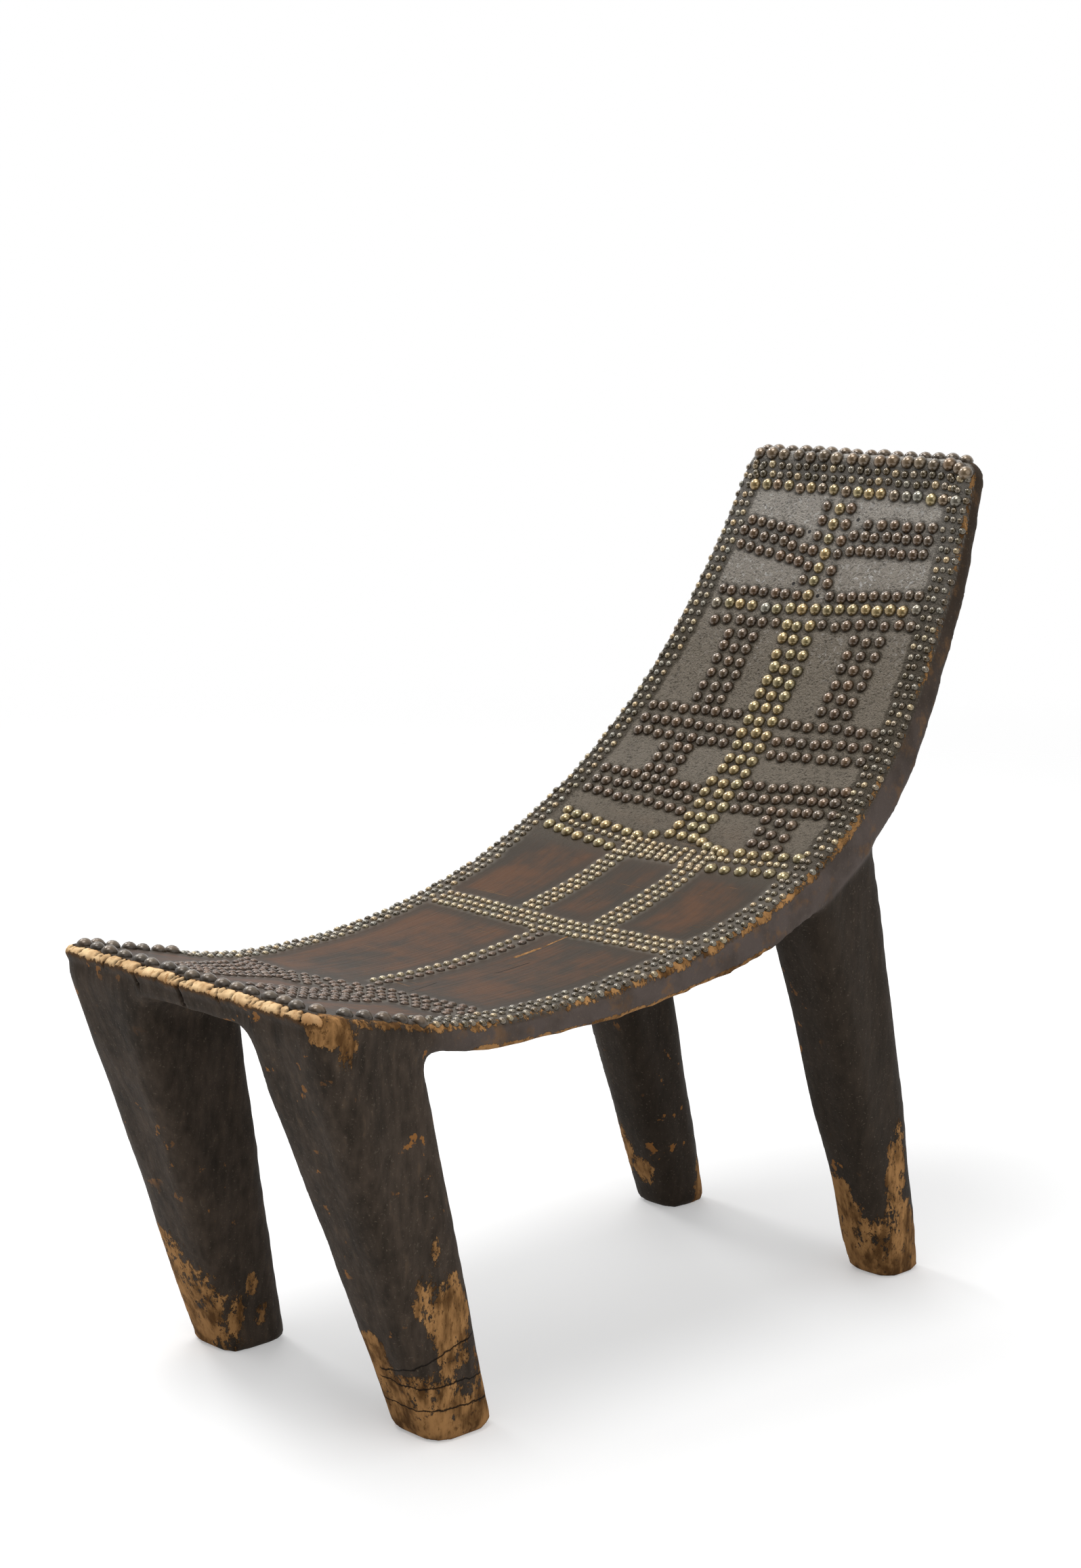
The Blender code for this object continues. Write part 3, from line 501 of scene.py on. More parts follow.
# insets of the three columns from the edge, in millimetres
BORDER_INSETS = {"border_left": (6.0, 13.6, 21.2), "border_right": (4.2, 11.4, 18.8)}
BORDER_PITCH = 8.3
BORDER_SHAKE = 0.16
BORDER_FIRST = 100.0
BORDER_LAST = 842.0
# how far under the face, and how far out, a ray to the edge starts
EDGE_UNDER = 0.008
EDGE_OUT = 0.3

bpy.context.view_layer.update()
wood = BVHTree.FromObject(body, bpy.context.evaluated_depsgraph_get())


def land(origin, way):
    """Where a ray meets the wood, or where the plan puts that point."""
    hit = wood.ray_cast(origin, way, 2 * RAY_REACH)[0]
    return hit if hit else origin + way * RAY_REACH


def seat(start, way, right, ahead):
    """Where a tack lands and the way up from the wood around it."""
    step_x = land(start + right * SLOPE_STEP, way) - land(start - right * SLOPE_STEP, way)
    step_y = land(start + ahead * SLOPE_STEP, way) - land(start - ahead * SLOPE_STEP, way)
    return land(start, way), step_x.cross(step_y).normalized()


def face_seat(x, along):
    """A seat on the upper face, from a place on the plan."""
    point, up, on = face_point(x * MM, along * MM)
    return seat(point + up * RAY_REACH, -up, Vector((1, 0, 0)), on)


def top_seat(x, below):
    """A seat on the end face at the top of the back."""
    point, up, on = face_point(x * MM, RUN)
    return seat(point - up * below * MM + on * RAY_REACH, -on, Vector((1, 0, 0)), -up)


def edge_x(side, along):
    """x of the slab's edge, in millimetres."""
    point, up, _ = face_point(0.0, along * MM)
    start = point - up * EDGE_UNDER + Vector((side * EDGE_OUT, 0, 0))
    return wood.ray_cast(start, Vector((-side, 0, 0)))[0].x / MM


for side, name in ((-1, "border_left"), (1, "border_right")):
    plan[name] = []
    for inset in BORDER_INSETS[name]:
        count = round((BORDER_LAST - BORDER_FIRST) / BORDER_PITCH)
        for _, along in line((0, BORDER_FIRST), (0, BORDER_LAST), count):
            shake = rng.uniform(-1, 1) * BORDER_SHAKE * BORDER_PITCH
            plan[name].append((edge_x(side, along) - side * (inset + shake), along))
print("tacks with the borders:", sum(len(places) for places in plan.values()))

# %% [markdown]
# ## One head, modelled once
# A tack's head is stamped to a shallow dome. That is the cap of a sphere, cut off above the middle,
# with a short skirt that goes down into the wood, so that no gap shows under the rim on uneven wood.
# It has only a few dozen faces, because there are so many of them, and smooth shading does the rest.
# The small tacks get fewer faces than the large ones. An attribute keeps the height on the dome, for
# the finish: the crown is rubbed bright and the rim is painted darker, as dirt and as shade.

# %% Model the heads
CAP_START = 0.4
SKIRT = 0.25
SKIRT_TAPER = 0.9


def model_head(name, segments, rings):
    """A cap of radius 1 and height 1 on a short skirt."""
    bpy.ops.object.select_all(action="DESELECT")
    bpy.ops.mesh.primitive_uv_sphere_add(segments=segments, ring_count=rings, radius=1.0)
    head = bpy.context.object
    head.name = name
    bpy.ops.object.mode_set(mode="EDIT")
    bpy.ops.mesh.select_all(action="SELECT")
    bpy.ops.mesh.bisect(plane_co=(0, 0, CAP_START), plane_no=(0, 0, 1), clear_inner=True)
    bpy.ops.mesh.extrude_region_move(TRANSFORM_OT_translate={"value": (0, 0, -SKIRT)})
    bpy.ops.transform.resize(value=(SKIRT_TAPER, SKIRT_TAPER, 1))
    bpy.ops.mesh.edge_face_add()
    bpy.ops.mesh.select_all(action="SELECT")
    bpy.ops.mesh.normals_make_consistent(inside=False)
    bpy.ops.object.mode_set(mode="OBJECT")
    wide, tall = 1 / math.sqrt(1 - CAP_START**2), 1 / (1 - CAP_START)
    head.scale = (wide, wide, tall)
    head.location = (0, 0, -CAP_START * tall)
    bpy.ops.object.transform_apply(location=True, rotation=False, scale=True)
    bpy.ops.object.shade_smooth()
    crown = head.data.attributes.new("crown", "FLOAT", "POINT")
    crown.data.foreach_set("value", [max(v.co.z, 0.0) for v in head.data.vertices])
    head.data.attributes.new("alloy", "FLOAT_COLOR", "POINT")
    print(name, "has", len(head.data.polygons), "faces")
    return head


large_head = model_head("large_head", segments=12, rings=10)
small_head = model_head("small_head", segments=9, rings=8)

# %% [markdown]
# ## Setting the rows
# Every place of a row gets a copy of the head, turned to the wood's slope with a small seeded tilt
# and sized a little up or down. Each copy keeps its own colour in an attribute, because the tacks of
# one row came from different batches. The copies of a row are then joined to one piece, which stands
# for the CAD row.

# %% Sizes and colours of the tacks
# radius and dome height, in millimetres
SIZES = {
    "brass": (6.1, 4.4),
    "copper": (5.7, 4.3),
    "iron": (6.7, 5.4),
    "medium": (3.9, 2.4),
    "small": (3.8, 2.8),
}
# rows whose tacks differ from the others of their kind
ROW_SIZES = {
    "top_small_row_1": (4.4, 3.4),
    "top_small_row_2": (4.4, 3.4),
    "border_left": (3.6, 2.6),
    "border_right": (3.5, 2.4),
}
COLOURS = {
    "brass": (0.276, 0.201, 0.082),
    "copper": (0.106, 0.062, 0.028),
    "iron": (0.164, 0.109, 0.058),
    "steel": (0.200, 0.173, 0.125),
    "medium": (0.090, 0.049, 0.024),
    "small": (0.300, 0.225, 0.121),
    "dull": (0.165, 0.135, 0.092),
    "olive": (0.074, 0.050, 0.018),
    "edge": (0.116, 0.083, 0.053),
}
print("kinds of tack:", len(SIZES), "colours:", len(COLOURS))

# %% Set one tack, join a row
SIZE_SPREAD = 0.06
TONE_SPREAD = 0.24
HUE_SPREAD = 0.08
TILT = math.radians(5.0)
SINK = 0.05


def tack(head, size, colour, point, up):
    """One head on the wood."""
    grow = 1 + rng.uniform(-1, 1) * SIZE_SPREAD
    radius, dome = (value * MM * grow for value in size)
    tilt_x, tilt_y = rng.uniform(-TILT, TILT), rng.uniform(-TILT, TILT)
    tilt = Matrix.Rotation(tilt_x, 4, "X") @ Matrix.Rotation(tilt_y, 4, "Y")
    spin = Matrix.Rotation(rng.uniform(0, math.tau), 4, "Z")
    turn = up.to_track_quat("Z", "Y").to_matrix().to_4x4()
    place = Matrix.Translation(point - up * dome * SINK)
    stretch = Matrix.Diagonal((radius, radius, dome, 1))
    copy = bpy.data.objects.new(head.name, head.data.copy())
    copy.matrix_world = place @ turn @ tilt @ spin @ stretch
    tone = 1 + rng.uniform(-1, 1) * TONE_SPREAD
    hue = rng.uniform(-1, 1) * HUE_SPREAD
    shade = [colour[0] * tone * (1 + hue), colour[1] * tone, colour[2] * tone * (1 - hue), 1.0]
    copy.data.attributes["alloy"].data.foreach_set("color", shade * len(copy.data.vertices))
    bpy.context.scene.collection.objects.link(copy)
    return copy


def join(name, copies):
    """Joins the copies to one piece whose place is in its mesh."""
    bpy.ops.object.select_all(action="DESELECT")
    for copy in copies:
        copy.select_set(True)
    bpy.context.view_layer.objects.active = copies[0]
    bpy.ops.object.join()
    bpy.ops.object.transform_apply(location=True, rotation=True, scale=True)
    copies[0].name = name
    return copies[0]


def set_row(node, finish, seats, batch=None):
    """The tacks of one CAD row. batch names other colours, tack by tack."""
    head = small_head if finish == "small" else large_head
    colours = [COLOURS[word] for word in batch or [finish]]
    size = ROW_SIZES.get(node, SIZES[finish])
    copies = []
    for i, (point, up) in enumerate(seats):
        copies.append(tack(head, size, colours[i % len(colours)], point, up))
    piece = join(node + "_heads", copies)
    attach(piece, "root")
    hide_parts(node)
    finish + "_tacks"
    return piece


print("each tack tilts by up to", round(math.degrees(TILT)), "degrees")

# %% Which tack goes in which row
# rows that are none of these are copper
FINISHES = {
    "iron": ("top_edge_row", "front_edge_row"),
    "small": (
        "top_small_row_1", "top_small_row_2", "seat_head_small_left", "seat_head_small_right", "cross_band",
        "long_band_left", "long_band_right", "centre_row_left", "border_left", "border_right",
    ),
    "brass": (
        "top_brass_row", "stem_middle", "middle_brass_row", "spine_left", "spine_middle", "spine_right",
        "seat_head_row_1_left", "seat_head_row_1_right", "seat_head_row_2_left", "seat_head_row_2_right",
    ),
    "medium": ("centre_row_right", "front_band_1", "front_band_2", "front_post_left", "front_post_right"),
}
FINISH_OF = {node: finish for finish, nodes in FINISHES.items() for node in nodes}
# colours of the tacks of mixed rows, in turn
BATCHES = {
    "top_brass_row": (
        "brass brass iron brass iron brass iron brass iron "
        "brass brass brass iron steel steel brass iron dull"
    ),
    "top_small_row_1": "olive olive small olive dull olive olive",
    "top_small_row_2": "olive olive small dull olive small olive olive dull",
    "middle_brass_row": (
        "steel brass brass brass steel brass brass brass brass "
        "brass brass brass brass brass brass brass steel"
    ),
    "front_edge_row": "edge",
    "border_left": "small steel dull small olive steel small dull steel",
    "border_right": "dull small olive dull olive dull olive olive",
}
print("rows that aren't copper:", len(FINISH_OF), "rows of mixed batches:", len(BATCHES))

# %% Set the tacks
# the row on the top end face, and how far it lies below the upper face
TOP_ROW = ((-107, 0), (106, 0), 16)
TOP_ROW_BELOW = 7.0

pieces = {}
for node, places in plan.items():
    seats = [face_seat(x, along) for x, along in places]
    batch = BATCHES[node].split() if node in BATCHES else None
    pieces[node] = set_row(node, FINISH_OF.get(node, "copper"), seats, batch)
top_seats = [top_seat(x, TOP_ROW_BELOW) for x, _ in line(*TOP_ROW)]
pieces["top_face_row"] = set_row("top_face_row", "iron", top_seats)
for head in (large_head, small_head):
    bpy.data.objects.remove(head)
print("rows set:", len(pieces), "with", sum(len(p.data.polygons) for p in pieces.values()), "faces")

# %% [markdown]
# ## Where the wood is worn and dusty, and where shade is painted
# The finish of the wood depends on where it is: the upper face was polished by use, the lip, the
# arrises and the feet are worn to bare wood, and grey dust lies between the tacks; close round the
# tacks on the back the wood is painted darker, as dirt and as shade. These places are kept as
# attributes of the mesh, and the material breaks their edges up with noise. No two feet are worn
# alike, so their worn spots are a list of soft balls, each stretched along x, y and z.

# %% Worn spots
# middle, reach and strength of each spot, in millimetres; a spot below 0 stays dark
SPOTS = (
    ((113, -240, 0), (130, 130, 98), 0.95),
    ((106, -278, 64), (32, 26, 24), 0.95),
    ((144, -245, 90), (16, 32, 48), 0.90),
    ((143, -266, 108), (14, 18, 36), 0.66),
    ((144, -243, 60), (14, 26, 30), 0.85),
    ((143, -256, 142), (10, 10, 30), 0.55),
    ((144, -230, 40), (11, 14, 17), -0.30),
    ((131, -272, 68), (22, 18, 16), -0.80),
    ((-138, -265, 38), (80, 80, 106), 0.95),
    ((-85, -252, 33), (13, 11, 30), 0.85),
    ((-85, -229, 28), (12, 12, 20), 0.68),
    ((-82, -239, 54), (10, 10, 30), 0.62),
    ((-138, 208, 55), (22, 24, 52), 0.85),
    ((-118, 212, 34), (26, 16, 27), 0.72),
    ((-97, 259, 12), (12, 20, 50), 0.85),
    ((119, 245, 0), (120, 120, 84), 0.95),
    ((112, 203, 58), (30, 22, 64), 0.85),
    ((147, 226, 86), (14, 20, 78), 0.80),
    ((146, 240, 45), (14, 24, 32), 0.80),
    ((147, -346, 311), (28, 26, 20), 1.0),
    ((148, -333, 298), (13, 16, 36), 0.75),
)
# shares of the reach between which a spot fades out
SPOT_FADE = (0.05, 1.25)


def spot(points, middle, reach):
    """1 in the middle of a spot, 0 outside it."""
    away = np.linalg.norm((points - np.array(middle) * MM) / (np.array(reach) * MM), axis=1)
    return 1.0 - smooth(away, *SPOT_FADE)


print("worn spots:", len(SPOTS))

# %% Wear of the slab's edges
# thickness of the slab along its run
THICKNESS = ((0.0, 0.18, 0.53, 0.698, 0.86), (0.0225, 0.0205, 0.033, 0.0245, 0.018))
ARRIS = 0.0035
# depths between which the polished face ends, and how far behind the lip the bare front ends
POLISHED_END = (0.0020, 0.0055)
LIP_END = (0.003, 0.008)
# how far the slab's two arrises are worn along the run; the legs join the lower one in places
HIGH_WEAR = (
    (0.0, 0.10, 0.2, 0.34, 0.48, 0.62, 0.80, 0.86),
    (0.72, 0.66, 0.54, 0.70, 0.66, 0.46, 0.54, 0.70),
)
LOW_WEAR = (
    (0.0, 0.13, 0.15, 0.41, 0.44, 0.60, 0.64, 0.86),
    (0.0, 0.0, 1.0, 1.0, 0.0, 0.0, 0.62, 0.62),
)

points = triples(body.data.vertices, "co")
s, depth = slab_places(points)
slab = depth < SLAB_DEPTH
inward = edge_gap(points, s, depth)
bottom = np.interp(s, *THICKNESS) - depth
upper = 1.0 - smooth(depth, *POLISHED_END)
front = (1.0 - smooth(s - depth * LIP_RAKE, *LIP_END)) * slab
at_edge = (1.0 - smooth(inward, ARRIS, 3 * ARRIS)) * slab
low_arris = at_edge * (1.0 - smooth(np.abs(bottom), 0.0, 2.5 * ARRIS)) * np.interp(s, *LOW_WEAR)
high_arris = at_edge * (1.0 - smooth(depth, 0.0, 4.5 * ARRIS)) * np.interp(s, *HIGH_WEAR)
bare = np.maximum(low_arris, high_arris)
for middle, reach, strength in SPOTS:
    worn = spot(points, middle, reach) * strength
    bare = np.maximum(bare, worn) if strength > 0 else bare + worn
print(f"bare wood on {(bare > 0.5).mean():.1%} of the mesh")

# %% Dust and painted shade between the tacks
DUST_AND_SHADE_REACH = 0.022

tacks = KDTree(sum(len(row) for row in plan.values()))
for i, (px, along) in enumerate(p for row in plan.values() for p in row):
    tacks.insert(face_point(px * MM, along * MM)[0], i)
tacks.balance()
# nearness to the tacks: grey dust on the seat, and painted shade round the tacks on the back
dust = np.array([1.0 - tacks.find(p)[2] / DUST_AND_SHADE_REACH if up > 0 else 0.0 for p, up in zip(points, upper)])
print(f"dust on {(dust > 0.5).mean():.1%} of the mesh")

# %% Keep the marks in the mesh
# the slab's side starts above its lower arris and behind the front legs
SIDE_LOW = (-0.004, 0.002)
SIDE_START = (0.08, 0.16)
CRACK_SHOWS = (0.0008, 0.0028)


def keep(obj, name, values):
    """Writes a value for each vertex to an attribute of the mesh."""
    attribute = obj.data.attributes.new(name, "FLOAT", "POINT")
    attribute.data.foreach_set("value", np.asarray(values, np.float32))


side = (inward < EDGE_ZONE) * smooth(bottom, *SIDE_LOW) * (1 - upper) * smooth(s, *SIDE_START)
keep(body, "upper", upper * (1 - front))
keep(body, "run", np.clip(s, 0.0, RUN))
keep(body, "bare", bare)
keep(body, "pale", front * np.clip(1.0 - depth / (2 * BAND_DEPTH), 0.0, 1.0))
keep(body, "dust", np.clip(dust, 0.0, 1.0))
keep(body, "side", side)
keep(body, "crack", smooth(cuts, *CRACK_SHOWS))
only(body)
bpy.ops.object.shade_smooth()
print("marks kept on", len(points), "vertices")

# %% [markdown]
# ## Shader sums written as Python
# A finish is a sum of noises, masks and colours. The class below wraps a socket, so that a sum such
# as `1 - mask * 0.5` adds its own Math nodes, and one method adds any other node.

# %% A socket with arithmetic
class Wire:
    """A socket of a node tree. Arithmetic on it adds Math nodes."""

    def __init__(self, tree, socket=None):
        self.tree = tree
        self.socket = socket

    def node(self, kind, settings=None, inputs=None, output=0):
        """Adds a node of this type, with its settings first and then the values or wires of its sockets."""
        made = self.tree.nodes.new(kind)
        for name, value in (settings or {}).items():
            setattr(made, name, value)
        self.feed_all(made.inputs, inputs or {})
        return Wire(self.tree, made.outputs[output])

    def feed(self, socket, value):
        """Gives a socket a wire, a number or a colour."""
        if isinstance(value, Wire):
            self.tree.links.new(value.socket, socket)
        elif socket.type == "RGBA":
            socket.default_value = (*value, 1.0)
        else:
            socket.default_value = value

    def feed_all(self, sockets, values):
        """Feeds the sockets of these names."""
        for name, value in values.items():
            self.feed(sockets[name], value)

    def sum(self, operation, a, b):
        """One Math node on two wires or numbers."""
        return self.node("ShaderNodeMath", {"operation": operation}, {0: a, 1: b})

    def measure(self, operation, a, b=(0, 0, 0)):
        """One number from two vectors, such as their distance."""
        return self.node("ShaderNodeVectorMath", {"operation": operation}, {0: a, 1: b}, 1)

    def __add__(self, other):
        return self.sum("ADD", self, other)

    def __sub__(self, other):
        return self.sum("SUBTRACT", self, other)

    def __rsub__(self, other):
        return self.sum("SUBTRACT", other, self)

    def __mul__(self, other):
        return self.sum("MULTIPLY", self, other)

    __radd__ = __add__
    __rmul__ = __mul__

    def step(self, low, high):
        """A soft step from 0 at low to 1 at high."""
        ends = {"Value": self, "From Min": low, "From Max": high}
        return self.node("ShaderNodeMapRange", {"interpolation_type": "SMOOTHSTEP"}, ends)

    def blend(self, a, b):
        """The colour a where this is 0 and b where it is 1."""
        return self.node("ShaderNodeMix", {"data_type": "RGBA"}, {0: self, 6: a, 7: b}, 2)

    def shade(self, colour):
        """A colour made darker by this."""
        settings = {"data_type": "RGBA", "blend_type": "MULTIPLY"}
        grey = self.node("ShaderNodeCombineColor", None, {0: self, 1: self, 2: self})
        return self.node("ShaderNodeMix", settings, {0: 1.0, 6: colour, 7: grey}, 2)

    def attribute(self, name, output=2):
        return self.node("ShaderNodeAttribute", {"attribute_name": name}, None, output)

    def place(self):
        """Places on the object, in metres."""
        return self.node("ShaderNodeTexCoord", None, None, "Object")

    def noise(self, scale, stretch=(1, 1, 1), detail=4.0, rough=0.55, turn=(0, 0, 0)):
        """Noise on Object coordinates, scale cells to the metre, stretched by axis."""
        size = tuple(scale * share for share in stretch)
        inputs = {"Vector": self.place(), "Scale": size, "Rotation": turn}
        place = self.node("ShaderNodeMapping", None, inputs)
        inputs = {"Vector": place, "Scale": 1.0, "Detail": detail, "Roughness": rough}
        return self.node("ShaderNodeTexNoise", None, inputs)

    def flakes(self, scale, wobble):
        """A random value for each flake of a broken skin. Noise wobbles the edges of the flakes."""
        place = self.place()
        bend = self.node("ShaderNodeTexNoise", None, {"Vector": place, "Scale": 3 * scale, "Detail": 4.0}, 1)
        inputs = {0: bend, 1: (wobble, wobble, wobble), 2: place}
        moved = self.node("ShaderNodeVectorMath", {"operation": "MULTIPLY_ADD"}, inputs)
        return self.node("ShaderNodeTexVoronoi", None, {"Vector": moved, "Scale": scale}, 1)

    def near(self, point, radius):
        """1 within a radius of a point of the object, softly 0 outside it."""
        gap = self.measure("DISTANCE", self.place(), tuple(point))
        return 1 - gap.step(radius * 0.8, radius * 1.2)

    def bump(self, height, distance, normal=None):
        """A Bump node for this height, a share of the distance in metres."""
        inputs = {"Height": height, "Distance": distance, "Strength": 1.0}
        if normal:
            inputs["Normal"] = normal
        return self.node("ShaderNodeBump", None, inputs)


print("a wire can:", ", ".join(name for name in vars(Wire) if not name.startswith("_")))

# %% A new material
def new_material(name):
    """A material, the wire to build it with and its Principled shader's sockets."""
    made = bpy.data.materials.new(name)
    made.use_nodes = True
    shader = made.node_tree.nodes["Principled BSDF"]
    return made, Wire(made.node_tree), shader.inputs


print("materials so far:", len(bpy.data.materials))

# %% [markdown]
# ## The finish of the wood
# The legs are nearly black with smoke and handling, and towards the rear they are painted darker still
# as shade under the seat. The slab's sides are greyer with rusty stains. The seat is a worn red brown,
# and the back is a grey brown with a crinkled skin that shines near its top: a coat gives it gloss
# there, and its colour there is painted lighter, with painted glints, as painted sheen. Close round the
# tacks the back is painted darker, as dirt and as painted shade. Where the wood is worn bare it is tan,
# and pale on the lip, where darker noise marks are painted shade of its chips and nicks. All of it is
# one material, because it is one block, and the mesh's attributes say which finish holds where.
# Splits, gouges, the holes of lost tacks and the cracks round the front right foot are finer than the
# mesh, so the material draws them from their places.

# %% Start the finish
finish, w, sockets = new_material("handled_wood")
upper, run, bare = w.attribute("upper"), w.attribute("run"), w.attribute("bare")
dust, pale, crack = w.attribute("dust"), w.attribute("pale"), w.attribute("crack")
side = w.attribute("side")
place = w.place()
across, rearward, above = (w.node("ShaderNodeSeparateXYZ", None, {0: place}, axis) for axis in range(3))
print("wires to the marks and places:", len(finish.node_tree.nodes), "nodes")

# %% Splits, gouges and holes
# two places on the plan and the half width between them, in millimetres
SPLITS = (((31.5, 278), (34, 308), 2.2), ((34, 306), (35.5, 335), 1.1))
GOUGES = (((9, 329), (10.5, 341), 2.0), ((48, 245), (50.5, 280), 0.7), ((40, 170), (33, 204), 0.6))
SEAM_END = 4
HOLES = ((19, 802), (-28.5, 788.5), (4, 733.5), (-26, 742))
HOLE = 1.7


def seam(w, across, run, first, last, half):
    """1 along a line on the plan and 0 beside it, with ragged edges."""
    (x0, s0), (x1, s1) = first, last
    middle = x0 * MM + (run - s0 * MM) * ((x1 - x0) / (s1 - s0))
    gap = w.sum("ABSOLUTE", across - middle, 0.0) + (w.noise(420) - 0.5) * (half * MM)
    ends = run.step(s0 * MM, (s0 + SEAM_END) * MM) * (1 - run.step((s1 - SEAM_END) * MM, s1 * MM))
    return (1 - gap.step(half * MM * 0.5, half * MM)) * ends


split = sum(seam(w, across, run, *marks) for marks in SPLITS) * upper
gouge = sum(seam(w, across, run, *marks) for marks in GOUGES) * upper
holes = sum(w.near(face_point(x * MM, along * MM)[0], HOLE * MM) for x, along in HOLES)
print("splits:", len(SPLITS), "gouges:", len(GOUGES), "holes:", len(HOLES))

# %% Cracks round the front right foot
# height of each crack at its left end and its rise to the right end, in millimetres
FOOT_CRACKS = ((50, 28), (44, -2), (26, -2))
# the ends, measured along a diagonal across the foot's outer corner, and that diagonal's angle
FOOT_LEFT = -0.128
FOOT_RIGHT = -0.048
FOOT_DIAGONAL = 0.81156
FOOT_CRACK_HALF = 0.0009
FOOT_CRACK_END = 0.004
FOOT_CRACK_WANDER = 0.006

diagonal = math.cos(FOOT_DIAGONAL), math.sin(FOOT_DIAGONAL), 0.0
round_foot = w.measure("DOT_PRODUCT", place, diagonal)
from_left = round_foot.step(FOOT_LEFT, FOOT_LEFT + FOOT_CRACK_END)
on_foot = from_left * (1 - round_foot.step(FOOT_RIGHT - FOOT_CRACK_END, FOOT_RIGHT))
foot_cracks = 0.0
for height, rise in FOOT_CRACKS:
    level = height * MM + (round_foot - FOOT_LEFT) * (rise * MM / (FOOT_RIGHT - FOOT_LEFT))
    wander = (w.noise(120) - 0.5) * FOOT_CRACK_WANDER
    gap = w.sum("ABSOLUTE", above - level + wander, 0.0)
    foot_cracks = (1 - gap.step(0.0, FOOT_CRACK_HALF)) * on_foot + foot_cracks
print("cracks round the foot:", len(FOOT_CRACKS))

# %% Noises of the wood
blotches = w.noise(16, detail=5)
mottle = w.noise(62, (1, 1, 0.6), detail=5)
streaks = w.noise(70, (1, 1, 0.12), detail=5)
fine = w.noise(190, (1, 1, 0.35), detail=4)
specks = w.noise(420, detail=3)
grain = w.noise(330, (1, 0.06, 0.25), detail=4)
skin = w.noise(260, detail=3, rough=0.6)
crinkle = 1 - w.sum("ABSOLUTE", skin * 2 - 1, 0.0)
print("marks and noises:", len(finish.node_tree.nodes), "nodes")

# %% Stain of the legs and sides, and painted shade at the rear
STAIN_DARK = (0.022, 0.017, 0.013)
STAIN_LIGHT = (0.072, 0.053, 0.040)
STAIN_WORN = (0.100, 0.066, 0.040)
SIDE_GREY = (0.105, 0.083, 0.074)
SIDE_BROWN = (0.040, 0.027, 0.018)
SIDE_RUST = (0.220, 0.115, 0.048)
CHIP = (0.30, 0.13, 0.035)
SCUFF = (0.150, 0.120, 0.090)
REAR_SHADE = (0.02, 0.14)

shades = blotches * 0.2 + mottle * 0.25 + streaks * 0.2 + fine * 0.35
stain_and_shade = shades.step(0.34, 0.66).blend(STAIN_DARK, STAIN_LIGHT)
stain_and_shade = (fine.step(0.58, 0.72) * mottle.step(0.45, 0.6) * 0.4).blend(stain_and_shade, STAIN_WORN)
# painted shade: towards the rear the stain is painted darker, as the shade under the seat
stain_and_shade = (rearward.step(*REAR_SHADE) * 0.55).blend(stain_and_shade, STAIN_DARK)
side_wood = run.step(0.50, 0.80).blend(SIDE_GREY, SIDE_BROWN)
rust = w.noise(48, detail=6, rough=0.65).step(0.52, 0.68)
side_wood = (rust * 0.55).blend(side_wood, SIDE_RUST)
patches = w.noise(34, detail=5).step(0.36, 0.60)
stain_and_shade = (side * (patches * 0.45 + 0.5)).blend(stain_and_shade, side_wood)
flaked = w.noise(75, detail=4).step(0.640, 0.660) * w.noise(9).step(0.46, 0.56) * (1 - side)
stain_and_shade = (flaked * 0.85).blend(stain_and_shade, CHIP)
stain_and_shade = (w.noise(560, detail=2).step(0.63, 0.70) * 0.4).blend(stain_and_shade, SCUFF)
print("with the stain:", len(finish.node_tree.nodes), "nodes")

# %% Wood of the seat and the back
SEAT_BROWN = (0.040, 0.030, 0.022)
SEAT_RED = (0.094, 0.044, 0.022)
SEAT_DARK = (0.040, 0.032, 0.024)
BACK_DARK = (0.056, 0.047, 0.036)
BACK_LIGHT = (0.205, 0.175, 0.137)
BACK_TOP_SHEEN = (0.370, 0.337, 0.292)
BACK_GAP_DIRT_AND_SHADE = (0.034, 0.026, 0.016)
PAINTED_GLINT = (0.520, 0.500, 0.470)
BACK_START = (0.44, 0.53)

clouds = w.noise(13, (1, 0.7, 1)) * 0.55 + grain * 0.2 + mottle * 0.25
seat_wood = clouds.step(0.40, 0.60).blend(SEAT_BROWN, SEAT_RED)
seat_wood = (dust.step(0.10, 0.50) * 0.75).blend(seat_wood, SEAT_DARK)
# painted sheen: towards its top the back is painted lighter, standing in for its sheen
back_tone_and_sheen = run.step(0.66, 0.84).blend(BACK_LIGHT, BACK_TOP_SHEEN)
folds = crinkle * 0.5 + mottle * 0.3 + blotches * 0.2
back_wood = folds.step(0.36, 0.74).blend(BACK_DARK, back_tone_and_sheen)
# painted shade: close round the tacks the back is painted darker, as dirt and as their shade
back_wood = (dust.step(0.64, 0.76) * 0.65).blend(back_wood, BACK_GAP_DIRT_AND_SHADE)
# painted highlight: bright glints are painted into the colour near the top of the back
glint_groups = w.noise(45, detail=3).step(0.40, 0.62) * 0.6 + 0.4
painted_glints = w.noise(300, detail=2).step(0.55, 0.66) * glint_groups * run.step(0.62, 0.76)
back_wood = (painted_glints * (1 - dust.step(0.56, 0.70)) * 0.85).blend(back_wood, PAINTED_GLINT)
on_back = run.step(*BACK_START)
face = on_back.blend(seat_wood, back_wood)
print("with the seat and the back:", len(finish.node_tree.nodes), "nodes")

# %% Scratches, dust and bare wood
DUST = (0.200, 0.178, 0.148)
TAN_DARK = (0.090, 0.043, 0.015)
TAN_LIGHT = (0.400, 0.210, 0.080)

